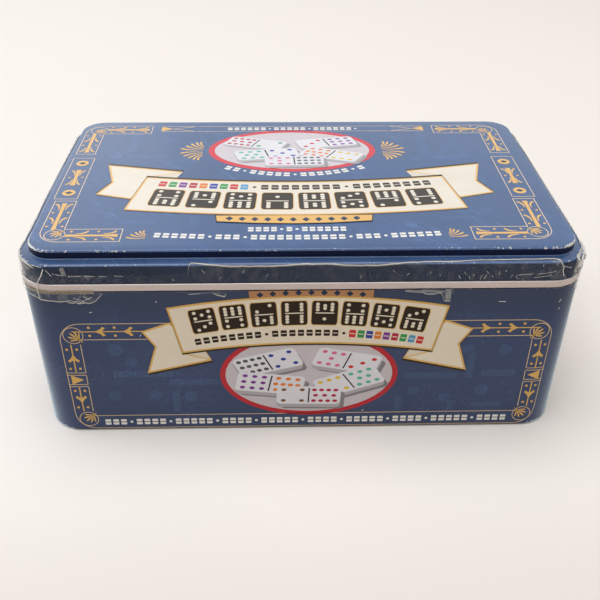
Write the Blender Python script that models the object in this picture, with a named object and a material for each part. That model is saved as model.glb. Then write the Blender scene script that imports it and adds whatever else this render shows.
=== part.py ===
"""Domino tin with a stepped lift-off lid, packed with a double-twelve set.

Metres, +Z up. The origin is the middle of the bottom, +X runs along the long side and the
front faces -Y. Run it with blender --background --python part.py, or from the text editor.

The tiles set the size of the tin: they lie flat in layers, the wall goes round the block
of tiles, and the lid goes over the wall's neck. These sizes give a lid of 216 by 131 mm
and a height of 86 mm. Profiles are lists of (inset, height), where the inset is measured
inwards from the outline of the lid's hem, the widest part of the tinplate.
"""

import math

import bmesh
import bpy

# One domino tile
TILE_LENGTH = 0.0500
TILE_WIDTH = 0.0250
TILE_THICKNESS = 0.0120
TILE_CORNER_RADIUS = 0.0030
TILE_BEVEL = 0.0009

# How the tiles are packed
TILES_ALONG = 4
TILES_ACROSS = 5
TILES_PER_STACK = 3
TOP_LAYER_FULL_COLUMNS = 2
TILE_GAP = 0.0003
SIDE_SPACE = 0.0019
CORNER_SPACE = 0.0011
HEADROOM = 0.0215

# Tinplate, and the gaps between pieces that touch or slide
SHEET = 0.0003
REST_GAP = 0.0003
LID_CLEARANCE = 0.00035

# Tin wall
CORNER_RADIUS = 0.0145
WALL_SETBACK = 0.0002
FOOT_RADIUS = 0.0010
FOOT_FLANGE = 0.0030
CURL_HEIGHT = 0.0022
NECK_TOP_CLEARANCE = 0.0006

# Base panel
BASE_RECESS = 0.0030
BASE_EDGE_RADIUS = 0.0008
BASE_CLEARANCE = 0.0006

# Lid
LID_HEIGHT = 0.0152
PANEL_INSET = 0.0044
PANEL_EDGE_RADIUS = 0.0008
RISER_HEIGHT = 0.0036
RISER_FOOT_RADIUS = 0.0005
SHOULDER_FALL = 0.0004
SHOULDER_RADIUS = 0.0012
HEM_HEIGHT = 0.0031
HEM_BULGE = 0.00045

# Clear film round the lid
FILM_THICKNESS = 0.0003
FILM_STANDOFF = 0.0003
FILM_TOP_DROP = 0.0016
FILM_OVERHANG = 0.0015

# Starter piece
STARTER_SIDES = 8
STARTER_ROWS = 3
STARTER_THICKNESS = 0.0090
STARTER_FLOOR = 0.0030
STARTER_CLEARANCE = 0.0008
STARTER_EDGE_BEVEL = 0.0008
NOTCH_DEPTH = 0.0040
POCKET_DEPTH = 0.0035
POCKET_CLEARANCE = 0.0003

# Booklet of instructions
BOOKLET_THICKNESS = 0.0012
BOOKLET_MARGIN = 0.0040
BOOKLET_CORNER_RADIUS = 0.0015

# Overrun of the cutters past the faces that they cut
OVERRUN = 0.0010

# Mesh detail
CORNER_STEPS = 8
EDGE_STEPS = 3
TILE_CORNER_STEPS = 2
SMOOTH_ANGLE = math.radians(35)
QUARTER = math.pi / 2


def end_space():
    """Space past the ends of the tile block, so that its corners clear the wall's corners."""
    reach = CORNER_RADIUS - WALL_SETBACK - SHEET - TILE_CORNER_RADIUS
    across = reach - SIDE_SPACE
    along = math.sqrt(max((reach - CORNER_SPACE) ** 2 - across ** 2, 0))
    return reach - along


# Places that follow from the sizes
PITCH_ALONG = TILE_LENGTH + TILE_GAP
PITCH_ACROSS = TILE_WIDTH + TILE_GAP
BLOCK_LENGTH = TILES_ALONG * PITCH_ALONG - TILE_GAP
BLOCK_DEPTH = TILES_ACROSS * PITCH_ACROSS - TILE_GAP
HALF_WIDTH = BLOCK_LENGTH / 2 + end_space() + SHEET + WALL_SETBACK
HALF_DEPTH = BLOCK_DEPTH / 2 + SIDE_SPACE + SHEET + WALL_SETBACK

STACK_HEIGHT = TILES_PER_STACK * TILE_THICKNESS
STACK_BOTTOM = BASE_RECESS + SHEET + REST_GAP
FOURTH_LAYER_BOTTOM = STACK_BOTTOM + STACK_HEIGHT + TILE_GAP
FIFTH_LAYER_BOTTOM = FOURTH_LAYER_BOTTOM + TILE_THICKNESS + TILE_GAP
BOOKLET_BOTTOM = FIFTH_LAYER_BOTTOM + TILE_THICKNESS + REST_GAP
TIN_HEIGHT = FIFTH_LAYER_BOTTOM + TILE_THICKNESS + HEADROOM + SHEET

HEM_BOTTOM = TIN_HEIGHT - LID_HEIGHT
LEDGE = HEM_BOTTOM - REST_GAP
NECK_INSET = HEM_BULGE + SHEET + LID_CLEARANCE
SHOULDER = LID_HEIGHT - RISER_HEIGHT
SHOULDER_EDGE = SHOULDER - SHOULDER_FALL
NECK_TOP = HEM_BOTTOM + SHOULDER_EDGE - SHEET - NECK_TOP_CLEARANCE


def rectangle(half_x, half_y, radius, steps):
    """Corner points of a rounded rectangle, anticlockwise from the +X side."""
    points = []
    for corner in range(4):
        side_x = 1 if corner in (0, 3) else -1
        side_y = 1 if corner in (0, 1) else -1
        for step in range(steps + 1):
            angle = QUARTER * (corner + step / steps)
            points.append((side_x * (half_x - radius) + radius * math.cos(angle),
                           side_y * (half_y - radius) + radius * math.sin(angle)))
    return points


def arc(center_inset, center_height, radius, start, end):
    """Points of a profile's round corner; angle 0 looks inwards and a quarter turn looks up."""
    points = []
    for step in range(EDGE_STEPS + 1):
        angle = start + (end - start) * step / EDGE_STEPS
        points.append((center_inset + radius * math.cos(angle),
                       center_height + radius * math.sin(angle)))
    return points


def tin_ring(inset, height):
    """The tin's outline at one inset and one height."""
    radius = max(CORNER_RADIUS - inset, SHEET)
    outline = rectangle(HALF_WIDTH - inset, HALF_DEPTH - inset, radius, CORNER_STEPS)
    return [(x, y, height) for x, y in outline]


def skin(rings, looped):
    """A closed mesh through the rings: looped back to the first ring, or capped at both ends."""
    mesh = bmesh.new()
    loops = [[mesh.verts.new(point) for point in ring] for ring in rings]
    pairs = list(zip(loops, loops[1:]))
    if looped:
        pairs.append((loops[-1], loops[0]))
    else:
        mesh.faces.new(loops[0])
        mesh.faces.new(loops[-1])
    for near, far in pairs:
        for i in range(len(near)):
            j = (i + 1) % len(near)
            mesh.faces.new((near[i], far[i], far[j], near[j]))
    bmesh.ops.recalc_face_normals(mesh, faces=mesh.faces)
    return mesh


def finish_mesh(name, mesh):
    """Turn a bmesh into mesh data, smooth on its rounds and sharp at its edges."""
    data = bpy.data.meshes.new(name)
    mesh.to_mesh(data)
    mesh.free()
    data.shade_smooth()
    data.set_sharp_from_angle(angle=SMOOTH_ANGLE)
    return data


def add_object(name, data, location, material, parent=None):
    """Put mesh data into the scene as one named sub-part with its own material."""
    piece = bpy.data.objects.new(name, data)
    bpy.context.scene.collection.objects.link(piece)
    piece.location = location
    piece.parent = parent
    if not data.materials:
        data.materials.append(None)
    piece.material_slots[0].link = 'OBJECT'
    piece.material_slots[0].material = material
    return piece


def make_material(name, color, roughness, metallic, alpha=1):
    """A Principled material with the sub-part's colour, roughness and metal."""
    material = bpy.data.materials.new(name)
    material.use_nodes = True
    shader = material.node_tree.nodes["Principled BSDF"]
    shader.inputs["Base Color"].default_value = (*color, 1)
    shader.inputs["Roughness"].default_value = roughness
    shader.inputs["Metallic"].default_value = metallic
    shader.inputs["Alpha"].default_value = alpha
    return material


def wall_profile():
    """The tin wall's section: foot flange, wall, ledge under the hem, neck and top curl."""
    foot = WALL_SETBACK + FOOT_RADIUS
    inside = WALL_SETBACK + SHEET
    neck_inside = NECK_INSET + SHEET
    flange_end = foot + FOOT_FLANGE
    curl_foot = NECK_TOP - CURL_HEIGHT
    profile = [(flange_end, 0)]
    profile += arc(foot, FOOT_RADIUS, FOOT_RADIUS, -QUARTER, -2 * QUARTER)
    profile += [(WALL_SETBACK, LEDGE), (NECK_INSET, LEDGE)]
    profile += arc(neck_inside, NECK_TOP - SHEET, SHEET, 2 * QUARTER, 0)
    profile += [(neck_inside + SHEET, curl_foot), (neck_inside, curl_foot)]
    profile += [(neck_inside, LEDGE - SHEET), (inside, LEDGE - SHEET)]
    profile += arc(foot, FOOT_RADIUS, FOOT_RADIUS - SHEET, -2 * QUARTER, -QUARTER)
    profile += [(flange_end, SHEET)]
    return profile


def build_tin_wall():
    """The printed wall, one strip wrapped round and curled at its top."""
    material = make_material("tin_wall_print", (0.024, 0.036, 0.085), 0.28, 0.0)
    mesh = skin([tin_ring(*point) for point in wall_profile()], looped=True)
    add_object("tin_wall", finish_mesh("tin_wall", mesh), (0, 0, 0), material)


def build_tin_base():
    """The base panel, an inverted shallow pan whose rim stands on the wall's foot flange."""
    inset = WALL_SETBACK + SHEET + BASE_CLEARANCE
    rim_height = BASE_RECESS - REST_GAP
    bend = rim_height - BASE_EDGE_RADIUS
    center = inset + BASE_EDGE_RADIUS
    profile = arc(center, bend, BASE_EDGE_RADIUS, QUARTER, 2 * QUARTER)
    profile += [(inset, 0), (inset + SHEET, 0)]
    profile += arc(center, bend, BASE_EDGE_RADIUS - SHEET, 2 * QUARTER, QUARTER)
    material = make_material("tin_base_bare", (0.46, 0.45, 0.43), 0.35, 1.0)
    mesh = skin([tin_ring(*point) for point in profile], looped=False)
    add_object("tin_base", finish_mesh("tin_base", mesh), (0, 0, SHEET + REST_GAP), material)


def lid_profile():
    """The lid's section from the panel's edge out over the hem and back under the panel."""
    panel = PANEL_INSET + PANEL_EDGE_RADIUS
    panel_bend = LID_HEIGHT - PANEL_EDGE_RADIUS
    foot = PANEL_INSET - RISER_FOOT_RADIUS
    foot_bend = SHOULDER + RISER_FOOT_RADIUS
    edge = HEM_BULGE + SHOULDER_RADIUS
    edge_bend = SHOULDER_EDGE - SHOULDER_RADIUS
    profile = arc(panel, panel_bend, PANEL_EDGE_RADIUS, QUARTER, 2 * QUARTER)
    profile += arc(foot, foot_bend, RISER_FOOT_RADIUS, 0, -QUARTER)
    profile += arc(edge, edge_bend, SHOULDER_RADIUS, QUARTER, 2 * QUARTER)
    profile += arc(HEM_BULGE, HEM_HEIGHT - HEM_BULGE, HEM_BULGE, QUARTER, 2 * QUARTER)
    profile += arc(HEM_BULGE, HEM_BULGE, HEM_BULGE, 2 * QUARTER, 3 * QUARTER)
    profile += [(HEM_BULGE + SHEET, 0)]
    profile += arc(edge, edge_bend, SHOULDER_RADIUS - SHEET, 2 * QUARTER, QUARTER)
    profile += arc(foot, foot_bend, RISER_FOOT_RADIUS + SHEET, -QUARTER, 0)
    profile += arc(panel, panel_bend, PANEL_EDGE_RADIUS - SHEET, 2 * QUARTER, QUARTER)
    return profile


def build_lid(lift):
    """The stepped lid, one pressing with a rolled hem."""
    material = make_material("lid_print", (0.045, 0.070, 0.160), 0.30, 0.0)
    mesh = skin([tin_ring(*point) for point in lid_profile()], looped=False)
    add_object("lid_shell", finish_mesh("lid_shell", mesh), (0, 0, 0), material, lift)


def build_film(lift):
    """The clear film that is left round the lid's skirt and over the joint below it."""
    near = -FILM_STANDOFF
    far = near - FILM_THICKNESS
    top = SHOULDER_EDGE - FILM_TOP_DROP
    profile = [(near, -FILM_OVERHANG), (far, -FILM_OVERHANG), (far, top), (near, top)]
    material = make_material("shrink_film_clear", (0.85, 0.87, 0.88), 0.12, 0.0, 0.25)
    mesh = skin([tin_ring(*point) for point in profile], looped=True)
    add_object("shrink_film", finish_mesh("shrink_film", mesh), (0, 0, 0), material, lift)


def tile_mesh(name, count):
    """A bevelled tile, or a stack of them joined at their faces."""
    levels = []
    for tile in range(count):
        low = tile * TILE_THICKNESS
        high = low + TILE_THICKNESS
        if tile == 0:
            levels.append((TILE_BEVEL, low))
        levels += [(0, low + TILE_BEVEL), (0, high - TILE_BEVEL), (TILE_BEVEL, high)]
    rings = []
    for inset, height in levels:
        outline = rectangle(TILE_LENGTH / 2 - inset, TILE_WIDTH / 2 - inset,
                            TILE_CORNER_RADIUS - inset, TILE_CORNER_STEPS)
        rings.append([(x, y, height) for x, y in outline])
    return finish_mesh(name, skin(rings, looped=False))


def tile_place(column, row):
    """The middle of one place in a layer of tiles."""
    return ((column - (TILES_ALONG - 1) / 2) * PITCH_ALONG,
            (row - (TILES_ACROSS - 1) / 2) * PITCH_ACROSS)


def build_tiles():
    """Twenty stacks, a full fourth layer, and a fifth layer of two columns and one tile."""
    material = make_material("tile_ivory", (0.80, 0.79, 0.75), 0.25, 0.0)
    stack = tile_mesh("tile_stack", TILES_PER_STACK)
    single = tile_mesh("tile", 1)
    places = [(column, row) for column in range(TILES_ALONG) for row in range(TILES_ACROSS)]
    top_count = TOP_LAYER_FULL_COLUMNS * TILES_ACROSS
    top_places = places[:top_count] + [(TOP_LAYER_FULL_COLUMNS, TILES_ACROSS - 1)]
    layers = (("tile_stack", stack, places, STACK_BOTTOM),
              ("tile_fourth_layer", single, places, FOURTH_LAYER_BOTTOM),
              ("tile_fifth_layer", single, top_places, FIFTH_LAYER_BOTTOM))
    for name, data, spots, bottom in layers:
        for number, spot in enumerate(spots, 1):
            add_object(f"{name}_{number:02d}", data, (*tile_place(*spot), bottom), material)


def add_cutter(name, data, target):
    """Cut one mesh out of a sub-part; the cutter itself is a guide and isn't built."""
    cutter = bpy.data.objects.new(name, data)
    bpy.context.scene.collection.objects.link(cutter)
    cutter.parent = target
    cutter.hide_render = True
    cutter.display_type = 'WIRE'
    cut = target.modifiers.new(name, 'BOOLEAN')
    cut.operation = 'DIFFERENCE'
    cut.solver = 'EXACT'
    cut.object = cutter


def box_rings(low_x, high_x, half_y, low_z, high_z, turn):
    """Two rings of an upright box, turned about Z."""
    corners = ((low_x, -half_y), (high_x, -half_y), (high_x, half_y), (low_x, half_y))
    cosine, sine = math.cos(turn), math.sin(turn)
    outline = [(x * cosine - y * sine, x * sine + y * cosine) for x, y in corners]
    return [[(x, y, z) for x, y in outline] for z in (low_z, high_z)]


def build_starter_piece():
    """The octagonal hub with a pocket for the first tile and a notch for each player's train."""
    apothem = (STARTER_ROWS * PITCH_ACROSS - TILE_GAP) / 2 - STARTER_CLEARANCE
    rings = []
    for inset, height in ((STARTER_EDGE_BEVEL, 0), (0, STARTER_EDGE_BEVEL),
                          (0, STARTER_THICKNESS - STARTER_EDGE_BEVEL),
                          (STARTER_EDGE_BEVEL, STARTER_THICKNESS)):
        radius = (apothem - inset) / math.cos(math.pi / STARTER_SIDES)
        angles = [(side + 0.5) * math.tau / STARTER_SIDES for side in range(STARTER_SIDES)]
        rings.append([(radius * math.cos(a), radius * math.sin(a), height) for a in angles])
    free_columns = TILES_ALONG - TOP_LAYER_FULL_COLUMNS
    left, front = tile_place(TOP_LAYER_FULL_COLUMNS, 0)
    place = (left + (free_columns - 1) * PITCH_ALONG / 2,
             front + (STARTER_ROWS - 1) * PITCH_ACROSS / 2, FIFTH_LAYER_BOTTOM)
    material = make_material("starter_plastic", (0.55, 0.03, 0.035), 0.35, 0.0)
    hub = add_object("starter_piece", finish_mesh("starter_piece", skin(rings, looped=False)),
                     place, material)
    over = STARTER_THICKNESS + OVERRUN
    for side in range(STARTER_SIDES):
        turn = side * math.tau / STARTER_SIDES
        notch = box_rings(apothem - NOTCH_DEPTH, apothem + OVERRUN,
                          TILE_WIDTH / 2 + POCKET_CLEARANCE, STARTER_FLOOR, over, turn)
        data = finish_mesh("notch_cutter", skin(notch, looped=False))
        add_cutter(f"notch_cutter_{side + 1}", data, hub)
    half_pocket = TILE_LENGTH / 2 + POCKET_CLEARANCE
    pocket = box_rings(-half_pocket, half_pocket, TILE_WIDTH / 2 + POCKET_CLEARANCE,
                       STARTER_THICKNESS - POCKET_DEPTH, over, 0)
    add_cutter("pocket_cutter", finish_mesh("pocket_cutter", skin(pocket, looped=False)), hub)


def build_booklet():
    """The booklet of instructions, lying on the two full columns of the top layer."""
    neck_half_depth = HALF_DEPTH - NECK_INSET - 2 * SHEET
    half_x = TOP_LAYER_FULL_COLUMNS * PITCH_ALONG / 2 - BOOKLET_MARGIN
    half_y = neck_half_depth - BOOKLET_MARGIN
    outline = rectangle(half_x, half_y, BOOKLET_CORNER_RADIUS, TILE_CORNER_STEPS)
    rings = [[(x, y, z) for x, y in outline] for z in (0, BOOKLET_THICKNESS)]
    first_column = tile_place(0, 0)[0]
    place = (first_column + (TOP_LAYER_FULL_COLUMNS - 1) * PITCH_ALONG / 2, 0, BOOKLET_BOTTOM)
    material = make_material("booklet_paper", (0.78, 0.75, 0.66), 0.85, 0.0)
    data = finish_mesh("rules_booklet", skin(rings, looped=False))
    add_object("rules_booklet", data, place, material)


def clear_scene():
    """Remove whatever the open file holds."""
    for item in list(bpy.data.objects):
        bpy.data.objects.remove(item, do_unlink=True)


def main():
    """Build the tin, its contents and its lid."""
    clear_scene()
    build_tin_wall()
    build_tin_base()
    build_tiles()
    build_starter_piece()
    build_booklet()
    lift = bpy.data.objects.new("lid_lift", None)
    lift.location = (0, 0, HEM_BOTTOM)
    bpy.context.scene.collection.objects.link(lift)
    build_lid(lift)
    build_film(lift)


main()
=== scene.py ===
"""Domino tin: finished pieces over the packed solids, and the stage for its picture.

Metres, +Z up, with the front facing -Y. Sections of the pressed sheet are lists of
(inset, height), where the inset is measured inwards from the outline of the lid's hem.
The print is drawn flat in millimetres, in layers, and then laid on the tin.
"""

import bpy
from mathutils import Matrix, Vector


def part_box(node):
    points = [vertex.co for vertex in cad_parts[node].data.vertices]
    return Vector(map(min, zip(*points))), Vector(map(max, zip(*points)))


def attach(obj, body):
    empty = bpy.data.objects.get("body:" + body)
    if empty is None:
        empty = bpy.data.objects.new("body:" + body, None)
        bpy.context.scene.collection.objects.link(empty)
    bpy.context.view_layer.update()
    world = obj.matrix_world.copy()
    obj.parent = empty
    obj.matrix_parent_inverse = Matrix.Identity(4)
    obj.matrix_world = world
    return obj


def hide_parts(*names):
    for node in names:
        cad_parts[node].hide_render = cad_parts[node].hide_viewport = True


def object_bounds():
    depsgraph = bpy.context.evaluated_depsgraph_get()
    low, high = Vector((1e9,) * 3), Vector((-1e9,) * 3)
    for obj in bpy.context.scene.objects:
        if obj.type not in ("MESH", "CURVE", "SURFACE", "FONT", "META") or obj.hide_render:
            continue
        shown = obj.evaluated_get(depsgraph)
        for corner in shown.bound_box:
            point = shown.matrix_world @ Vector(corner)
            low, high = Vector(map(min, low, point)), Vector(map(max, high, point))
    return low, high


bl_info = {
    "name": "Domino tin",
    "version": (1, 0, 0),
    "blender": (4, 5, 0),
    "location": "3D View > Sidebar > Domino tin",
    "description": "Builds a printed domino tin with its tiles, booklet and torn film",
    "category": "Object",
}

import math
from collections import namedtuple
from functools import wraps

import bmesh
import bpy
from bpy.props import FloatProperty, FloatVectorProperty, IntProperty, PointerProperty
from mathutils import Matrix, Vector, noise

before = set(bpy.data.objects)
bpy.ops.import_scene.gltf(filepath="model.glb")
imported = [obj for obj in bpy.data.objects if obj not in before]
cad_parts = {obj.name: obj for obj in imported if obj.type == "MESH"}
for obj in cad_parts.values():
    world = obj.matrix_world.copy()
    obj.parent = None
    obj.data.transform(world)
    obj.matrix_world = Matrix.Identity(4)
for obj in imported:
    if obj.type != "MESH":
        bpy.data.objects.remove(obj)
CAD_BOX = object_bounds()

# Places taken from the packed solids
LID_LOW, LID_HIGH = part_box("lid_shell")
WALL_LOW, WALL_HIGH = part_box("tin_wall")
HALF_WIDTH, HALF_DEPTH, TIN_TOP = LID_HIGH
HEM_BOTTOM = LID_LOW.z
WALL_SETBACK = HALF_WIDTH - WALL_HIGH.x
NECK_TOP = WALL_HIGH.z

MM = 0.001
QUARTER = math.pi / 2
SMOOTH_ANGLE = math.radians(35)

# Pips in the three rows that run along one half of a tile, for each value
PIP_ROWS = {0: (0, 0, 0), 1: (0, 1, 0), 4: (2, 0, 2), 5: (2, 1, 2), 6: (3, 0, 3),
            7: (3, 1, 3), 8: (3, 2, 3), 9: (3, 3, 3), 10: (3, 4, 3), 11: (4, 3, 4),
            12: (4, 4, 4)}
PIP_STEPS = {0: (), 1: (0,), 2: (-0.9, 0.9), 3: (-0.9, 0, 0.9), 4: (-1.05, -0.35, 0.35, 1.05)}
TOP_VALUE = 12

# More layers than any print has
TOP_LAYER = 60


def length(label, default, text):
    """A size property in metres."""
    return FloatProperty(name=label, description=text, default=default, min=0,
                         unit='LENGTH', precision=5)


def colour(label, default, text):
    """A colour property."""
    return FloatVectorProperty(name=label, description=text, default=default, size=3,
                               min=0, max=1, subtype='COLOR')


# Varnish: the coat's weight and index, the gloss of the print beneath it, and fine dust on it
Gloss = namedtuple("Gloss", "coat index under dust")
LID_GLOSS = Gloss(coat=0.35, index=1.5, under=0.42, dust=0.0)
WALL_GLOSS = Gloss(coat=1.0, index=1.30, under=0.0, dust=0.75)
SKIRT_GLOSS = Gloss(coat=0.04, index=1.5, under=0.14, dust=0.0)
NO_GLOSS = Gloss(coat=0.0, index=1.5, under=0.1, dust=0.0)
INK_GLOSS = {"lid": Gloss(coat=0.20, index=1.5, under=0.30, dust=0.0),
             "wall": Gloss(coat=1.0, index=1.27, under=0.0, dust=0.0)}

# Wear: how much of it at the tin's corners and in patches, the colour that it lays bare, and
# the height over which the corners keep their lacquer. On the foot the same mask paints a
# highlight.
WearAndHighlight = namedtuple("WearAndHighlight", "corners patches bare top")
PANEL_WEAR = WearAndHighlight(corners=0.20, patches=0.08, bare=(0.70, 0.71, 0.69), top=1.0)
NECK_WEAR = WearAndHighlight(corners=0.07, patches=0.05, bare=(0.72, 0.71, 0.68), top=1.0)
SHOULDER_WEAR = WearAndHighlight(corners=0.12, patches=0.04, bare=(0.55, 0.58, 0.62), top=1.0)
# The foot's corners take a pale blue painted highlight, in place of the reflection on the foot's
# round
FOOT_CORNER_HIGHLIGHT = WearAndHighlight(corners=0.54, patches=-0.3, bare=(0.46, 0.56, 0.70), top=0.0019)
CORNER_REACH, CORNER_FADE, TOP_FADE = 0.022, 0.008, 0.0007

# Painted shade on the wall close under the hem: its tint, and the heights where it begins and is
# full
HEM_SHADE_TINT, HEM_SHADE_START, HEM_SHADE_HEIGHT = (0.93, 0.86, 0.74), 0.014, 0.067

# Gap under the hem, rounds of the wall's ledge and neck, and the length of the curl
HEM_GAP, LEDGE_ROUND, NECK_ROUND, CURL_REACH = 0.0003, 0.0003, 0.0002, 0.0018

# Height of the band of painted shade round the foot, where the tin meets the floor
FOOT_SHADE_BAND = 0.0006

# The lock seam's width, height and sloping edge, its place from the tin's end, and its ends
SEAM_WIDE, SEAM_HIGH, SEAM_SLOPE, SEAM_STEP = 0.0034, 0.0004, 0.0005, 0.0001
SEAM_PLACE, SEAM_FOOT, SEAM_HEAD, SEAM_ROUND = 0.024, 0.0022, 0.0014, 0.00012

# The base's round edge, and the bead pressed into it: its insets and its depth
BASE_ROUND, BEAD_INSETS, BEAD_DEPTH = 0.0008, (0.0070, 0.0080, 0.0100, 0.0110), 0.0006

# The wall's inks are darker, yellower copies of the lid's: painted shade for the wall's dimmer,
# warmer light, and on the strip under the hem a painted shadow
WALL_SHADE_TINTS = {"cream": (0.872, 0.845, 0.780), "gold": (0.765, 0.79, 0.695),
              "line": (0.70, 0.68, 0.60), "strip": (0.50, 0.42, 0.59), "red": (0.65, 0.55, 0.51),
              "white": (0.87, 0.865, 0.87), "picture": (0.80, 0.80, 0.79),
              "tile_side": (0.80, 0.80, 0.80), "grey": (0.60, 0.60, 0.60),
              "pale": (0.86, 0.85, 0.82), "black": (0.75, 0.75, 0.75)}
GHOST_TINTS = {"lid": 1.14, "wall": (1.17, 1.32, 1.25)}

# Colours of the pips, from one to twelve
PIP_COLOURS = {"sky": (0.09, 0.36, 0.68), "green": (0.03, 0.33, 0.09),
               "scarlet": (0.62, 0.03, 0.03), "brown": (0.20, 0.09, 0.04),
               "blue": (0.03, 0.06, 0.42), "yellow": (0.78, 0.55, 0.04),
               "pink": (0.75, 0.16, 0.34), "mint": (0.12, 0.52, 0.40),
               "purple": (0.22, 0.05, 0.36), "orange": (0.78, 0.22, 0.03),
               "crimson": (0.48, 0.02, 0.07), "slate": (0.09, 0.10, 0.12)}
PIP_NAMES = tuple(PIP_COLOURS)


def power(label, default, text):
    """The power of a lamp."""
    return FloatProperty(name=label, description=text, default=default, unit='POWER')


class TinSizes(bpy.types.PropertyGroup):
    """Sizes of the sheet, the pressings and the print."""

    sheet: length("Sheet", 0.0003, "Thickness of the tinplate")
    corner_radius: length("Corner radius", 0.0145, "Radius of the tin's upright corners")
    panel_inset: length("Panel inset", 0.0044, "From the hem's outline in to the riser")
    panel_edge: length("Panel edge", 0.0008, "Radius of the raised panel's edge")
    riser: length("Riser", 0.0036, "Height of the raised panel over the shoulder")
    riser_foot: length("Riser foot", 0.0005, "Radius at the foot of the riser")
    shoulder_fall: length("Shoulder fall", 0.0004, "Fall of the shoulder towards its edge")
    shoulder_radius: length("Shoulder radius", 0.0012, "Radius of the shoulder's edge")
    hem_height: length("Hem height", 0.0031, "Height of the rolled hem")
    hem_bulge: length("Hem bulge", 0.00045, "How far the hem stands out from the skirt")
    neck_inset: length("Neck inset", 0.0011, "From the hem's outline in to the neck")
    curl_radius: length("Curl radius", 0.0005, "Radius of the curl on top of the neck")
    foot_radius: length("Foot radius", 0.0010, "Radius at the foot of the wall")
    foot_flange: length("Foot flange", 0.0030, "Width of the flange under the wall")
    ink_step: length("Ink step", 0.000012, "Height of one layer of the print")
    ink_depth: length("Ink depth", 0.0001, "How far the print reaches down into the sheet")
    corner_steps: IntProperty(name="Corner steps", description="Steps in each upright corner",
                              default=20, min=4, max=64)


class TinColours(bpy.types.PropertyGroup):
    """Inks, lacquer, metal and plastics."""

    wall_blue: colour("Wall blue", (0.038, 0.058, 0.134), "Lacquer on the wall")
    lid_blue: colour("Lid blue", (0.041, 0.096, 0.250), "Lacquer on the lid")
    skirt_blue: colour("Skirt blue", (0.018, 0.029, 0.060), "Lacquer on the lid's skirt")
    riser_blue: colour("Riser blue", (0.001, 0.007, 0.040), "Lacquer on the riser")
    cream: colour("Cream", (0.850, 0.795, 0.708), "Ground of the ribbons")
    gold: colour("Gold", (0.84, 0.51, 0.17), "Ornament and outlines")
    line: colour("Line", (0.86, 0.66, 0.46), "Thin lines of the borders")
    pale: colour("Pale ink", (0.88, 0.89, 0.90), "Small marks on the blue ground")
    black: colour("Black ink", (0.028, 0.014, 0.005), "Blocks and marks on the ribbons")
    red: colour("Red ink", (0.70, 0.040, 0.065), "Rim of the oval")
    picture: colour("Picture ground", (0.67, 0.63, 0.69), "Ground inside the oval")
    tinplate: colour("Tinplate", (0.525, 0.452, 0.425), "Bare metal of the hem and the inside")
    ivory: colour("Ivory", (0.80, 0.785, 0.74), "Plastic of the tiles")
    hub_red: colour("Hub red", (0.42, 0.022, 0.026), "Plastic of the starter piece")
    paper: colour("Paper", (0.78, 0.75, 0.66), "Paper of the booklet")
    # The film's creases in this colour are partly painted highlights of its folds
    film: colour("Film", (0.86, 0.87, 0.86), "Haze and creases of the clear film")
    film_edge: colour("Film edge", (0.62, 0.58, 0.50), "Thick torn edges of the film")


class TileSizes(bpy.types.PropertyGroup):
    """Details of one tile."""

    corner_radius: length("Corner radius", 0.0030, "Radius of a tile's upright corners")
    bevel: length("Bevel", 0.0009, "Round on a tile's top and bottom edges")
    pip_radius: length("Pip radius", 0.0020, "Radius of a dished pip")
    pip_depth: length("Pip depth", 0.0005, "Depth of a dished pip")
    pip_reach: length("Pip reach", 0.0078, "From a half's middle to its outer row of pips")
    bar_width: length("Bar width", 0.0011, "Width of the bar between the halves")


class StageSettings(bpy.types.PropertyGroup):
    """Floor, lamps and camera."""

    floor: colour("Floor", (0.95, 0.92, 0.90), "Colour of the floor")
    backdrop: colour("Backdrop", (0.93, 0.90, 0.87), "Colour of the surroundings, as seen")
    lens: FloatProperty(name="Lens", description="Focal length of the camera", default=47.076,
                        unit='CAMERA')
    key_power: power("Key power", 45.0, "Power of the large soft lamp")
    window_power: power("Window power", 3.4, "Power of the low rear lamp")
    fill_power: power("Fill power", 2.6, "Power of the warm front lamp")
    side_power: power("Side power", 7.5, "Power of the cool lamp at the left")
    sky: FloatProperty(name="Sky", description="Light that comes evenly from all round",
                       default=0.34, min=0)
    gloss_sky: FloatProperty(name="Gloss sky", description="The surroundings as gloss shows them",
                             default=1.0, min=0)


def mid(low, high, share):
    """The value at a share of the way from low to high."""
    return low + (high - low) * share


def ease(value, low, high):
    """0 below low, 1 above high, and smooth between them."""
    share = min(max((value - low) / (high - low), 0), 1)
    return share * share * (3 - 2 * share)


# Modelling by hand: primitives, edit-mode operators and applied modifiers

def put_down():
    """Leave edit mode and let go of everything that is selected."""
    held = bpy.context.view_layer.objects.active
    if held is not None and held.mode != 'OBJECT':
        bpy.ops.object.mode_set(mode='OBJECT')
    bpy.ops.object.select_all(action='DESELECT')


def take(piece):
    """Select one piece alone and make it the active one."""
    put_down()
    piece.select_set(True)
    bpy.context.view_layer.objects.active = piece
    return piece


def begin(name, add, **settings):
    """Add a primitive at its size and place, and open it for editing with all selected."""
    put_down()
    add(**settings)
    piece = bpy.context.view_layer.objects.active
    bpy.ops.object.transform_apply(location=True, rotation=True, scale=True)
    piece.name = piece.data.name = name
    bpy.ops.object.mode_set(mode='EDIT')
    bpy.ops.mesh.select_mode(type='VERT')
    bpy.ops.mesh.select_all(action='SELECT')
    return piece


def reopen(piece, mode='VERT'):
    """Open a finished piece for editing again, with all of it selected."""
    take(piece)
    bpy.ops.object.mode_set(mode='EDIT')
    bpy.ops.mesh.select_mode(type=mode)
    bpy.ops.mesh.select_all(action='SELECT')


def close():
    """Leave edit mode."""
    bpy.ops.object.mode_set(mode='OBJECT')


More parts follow.
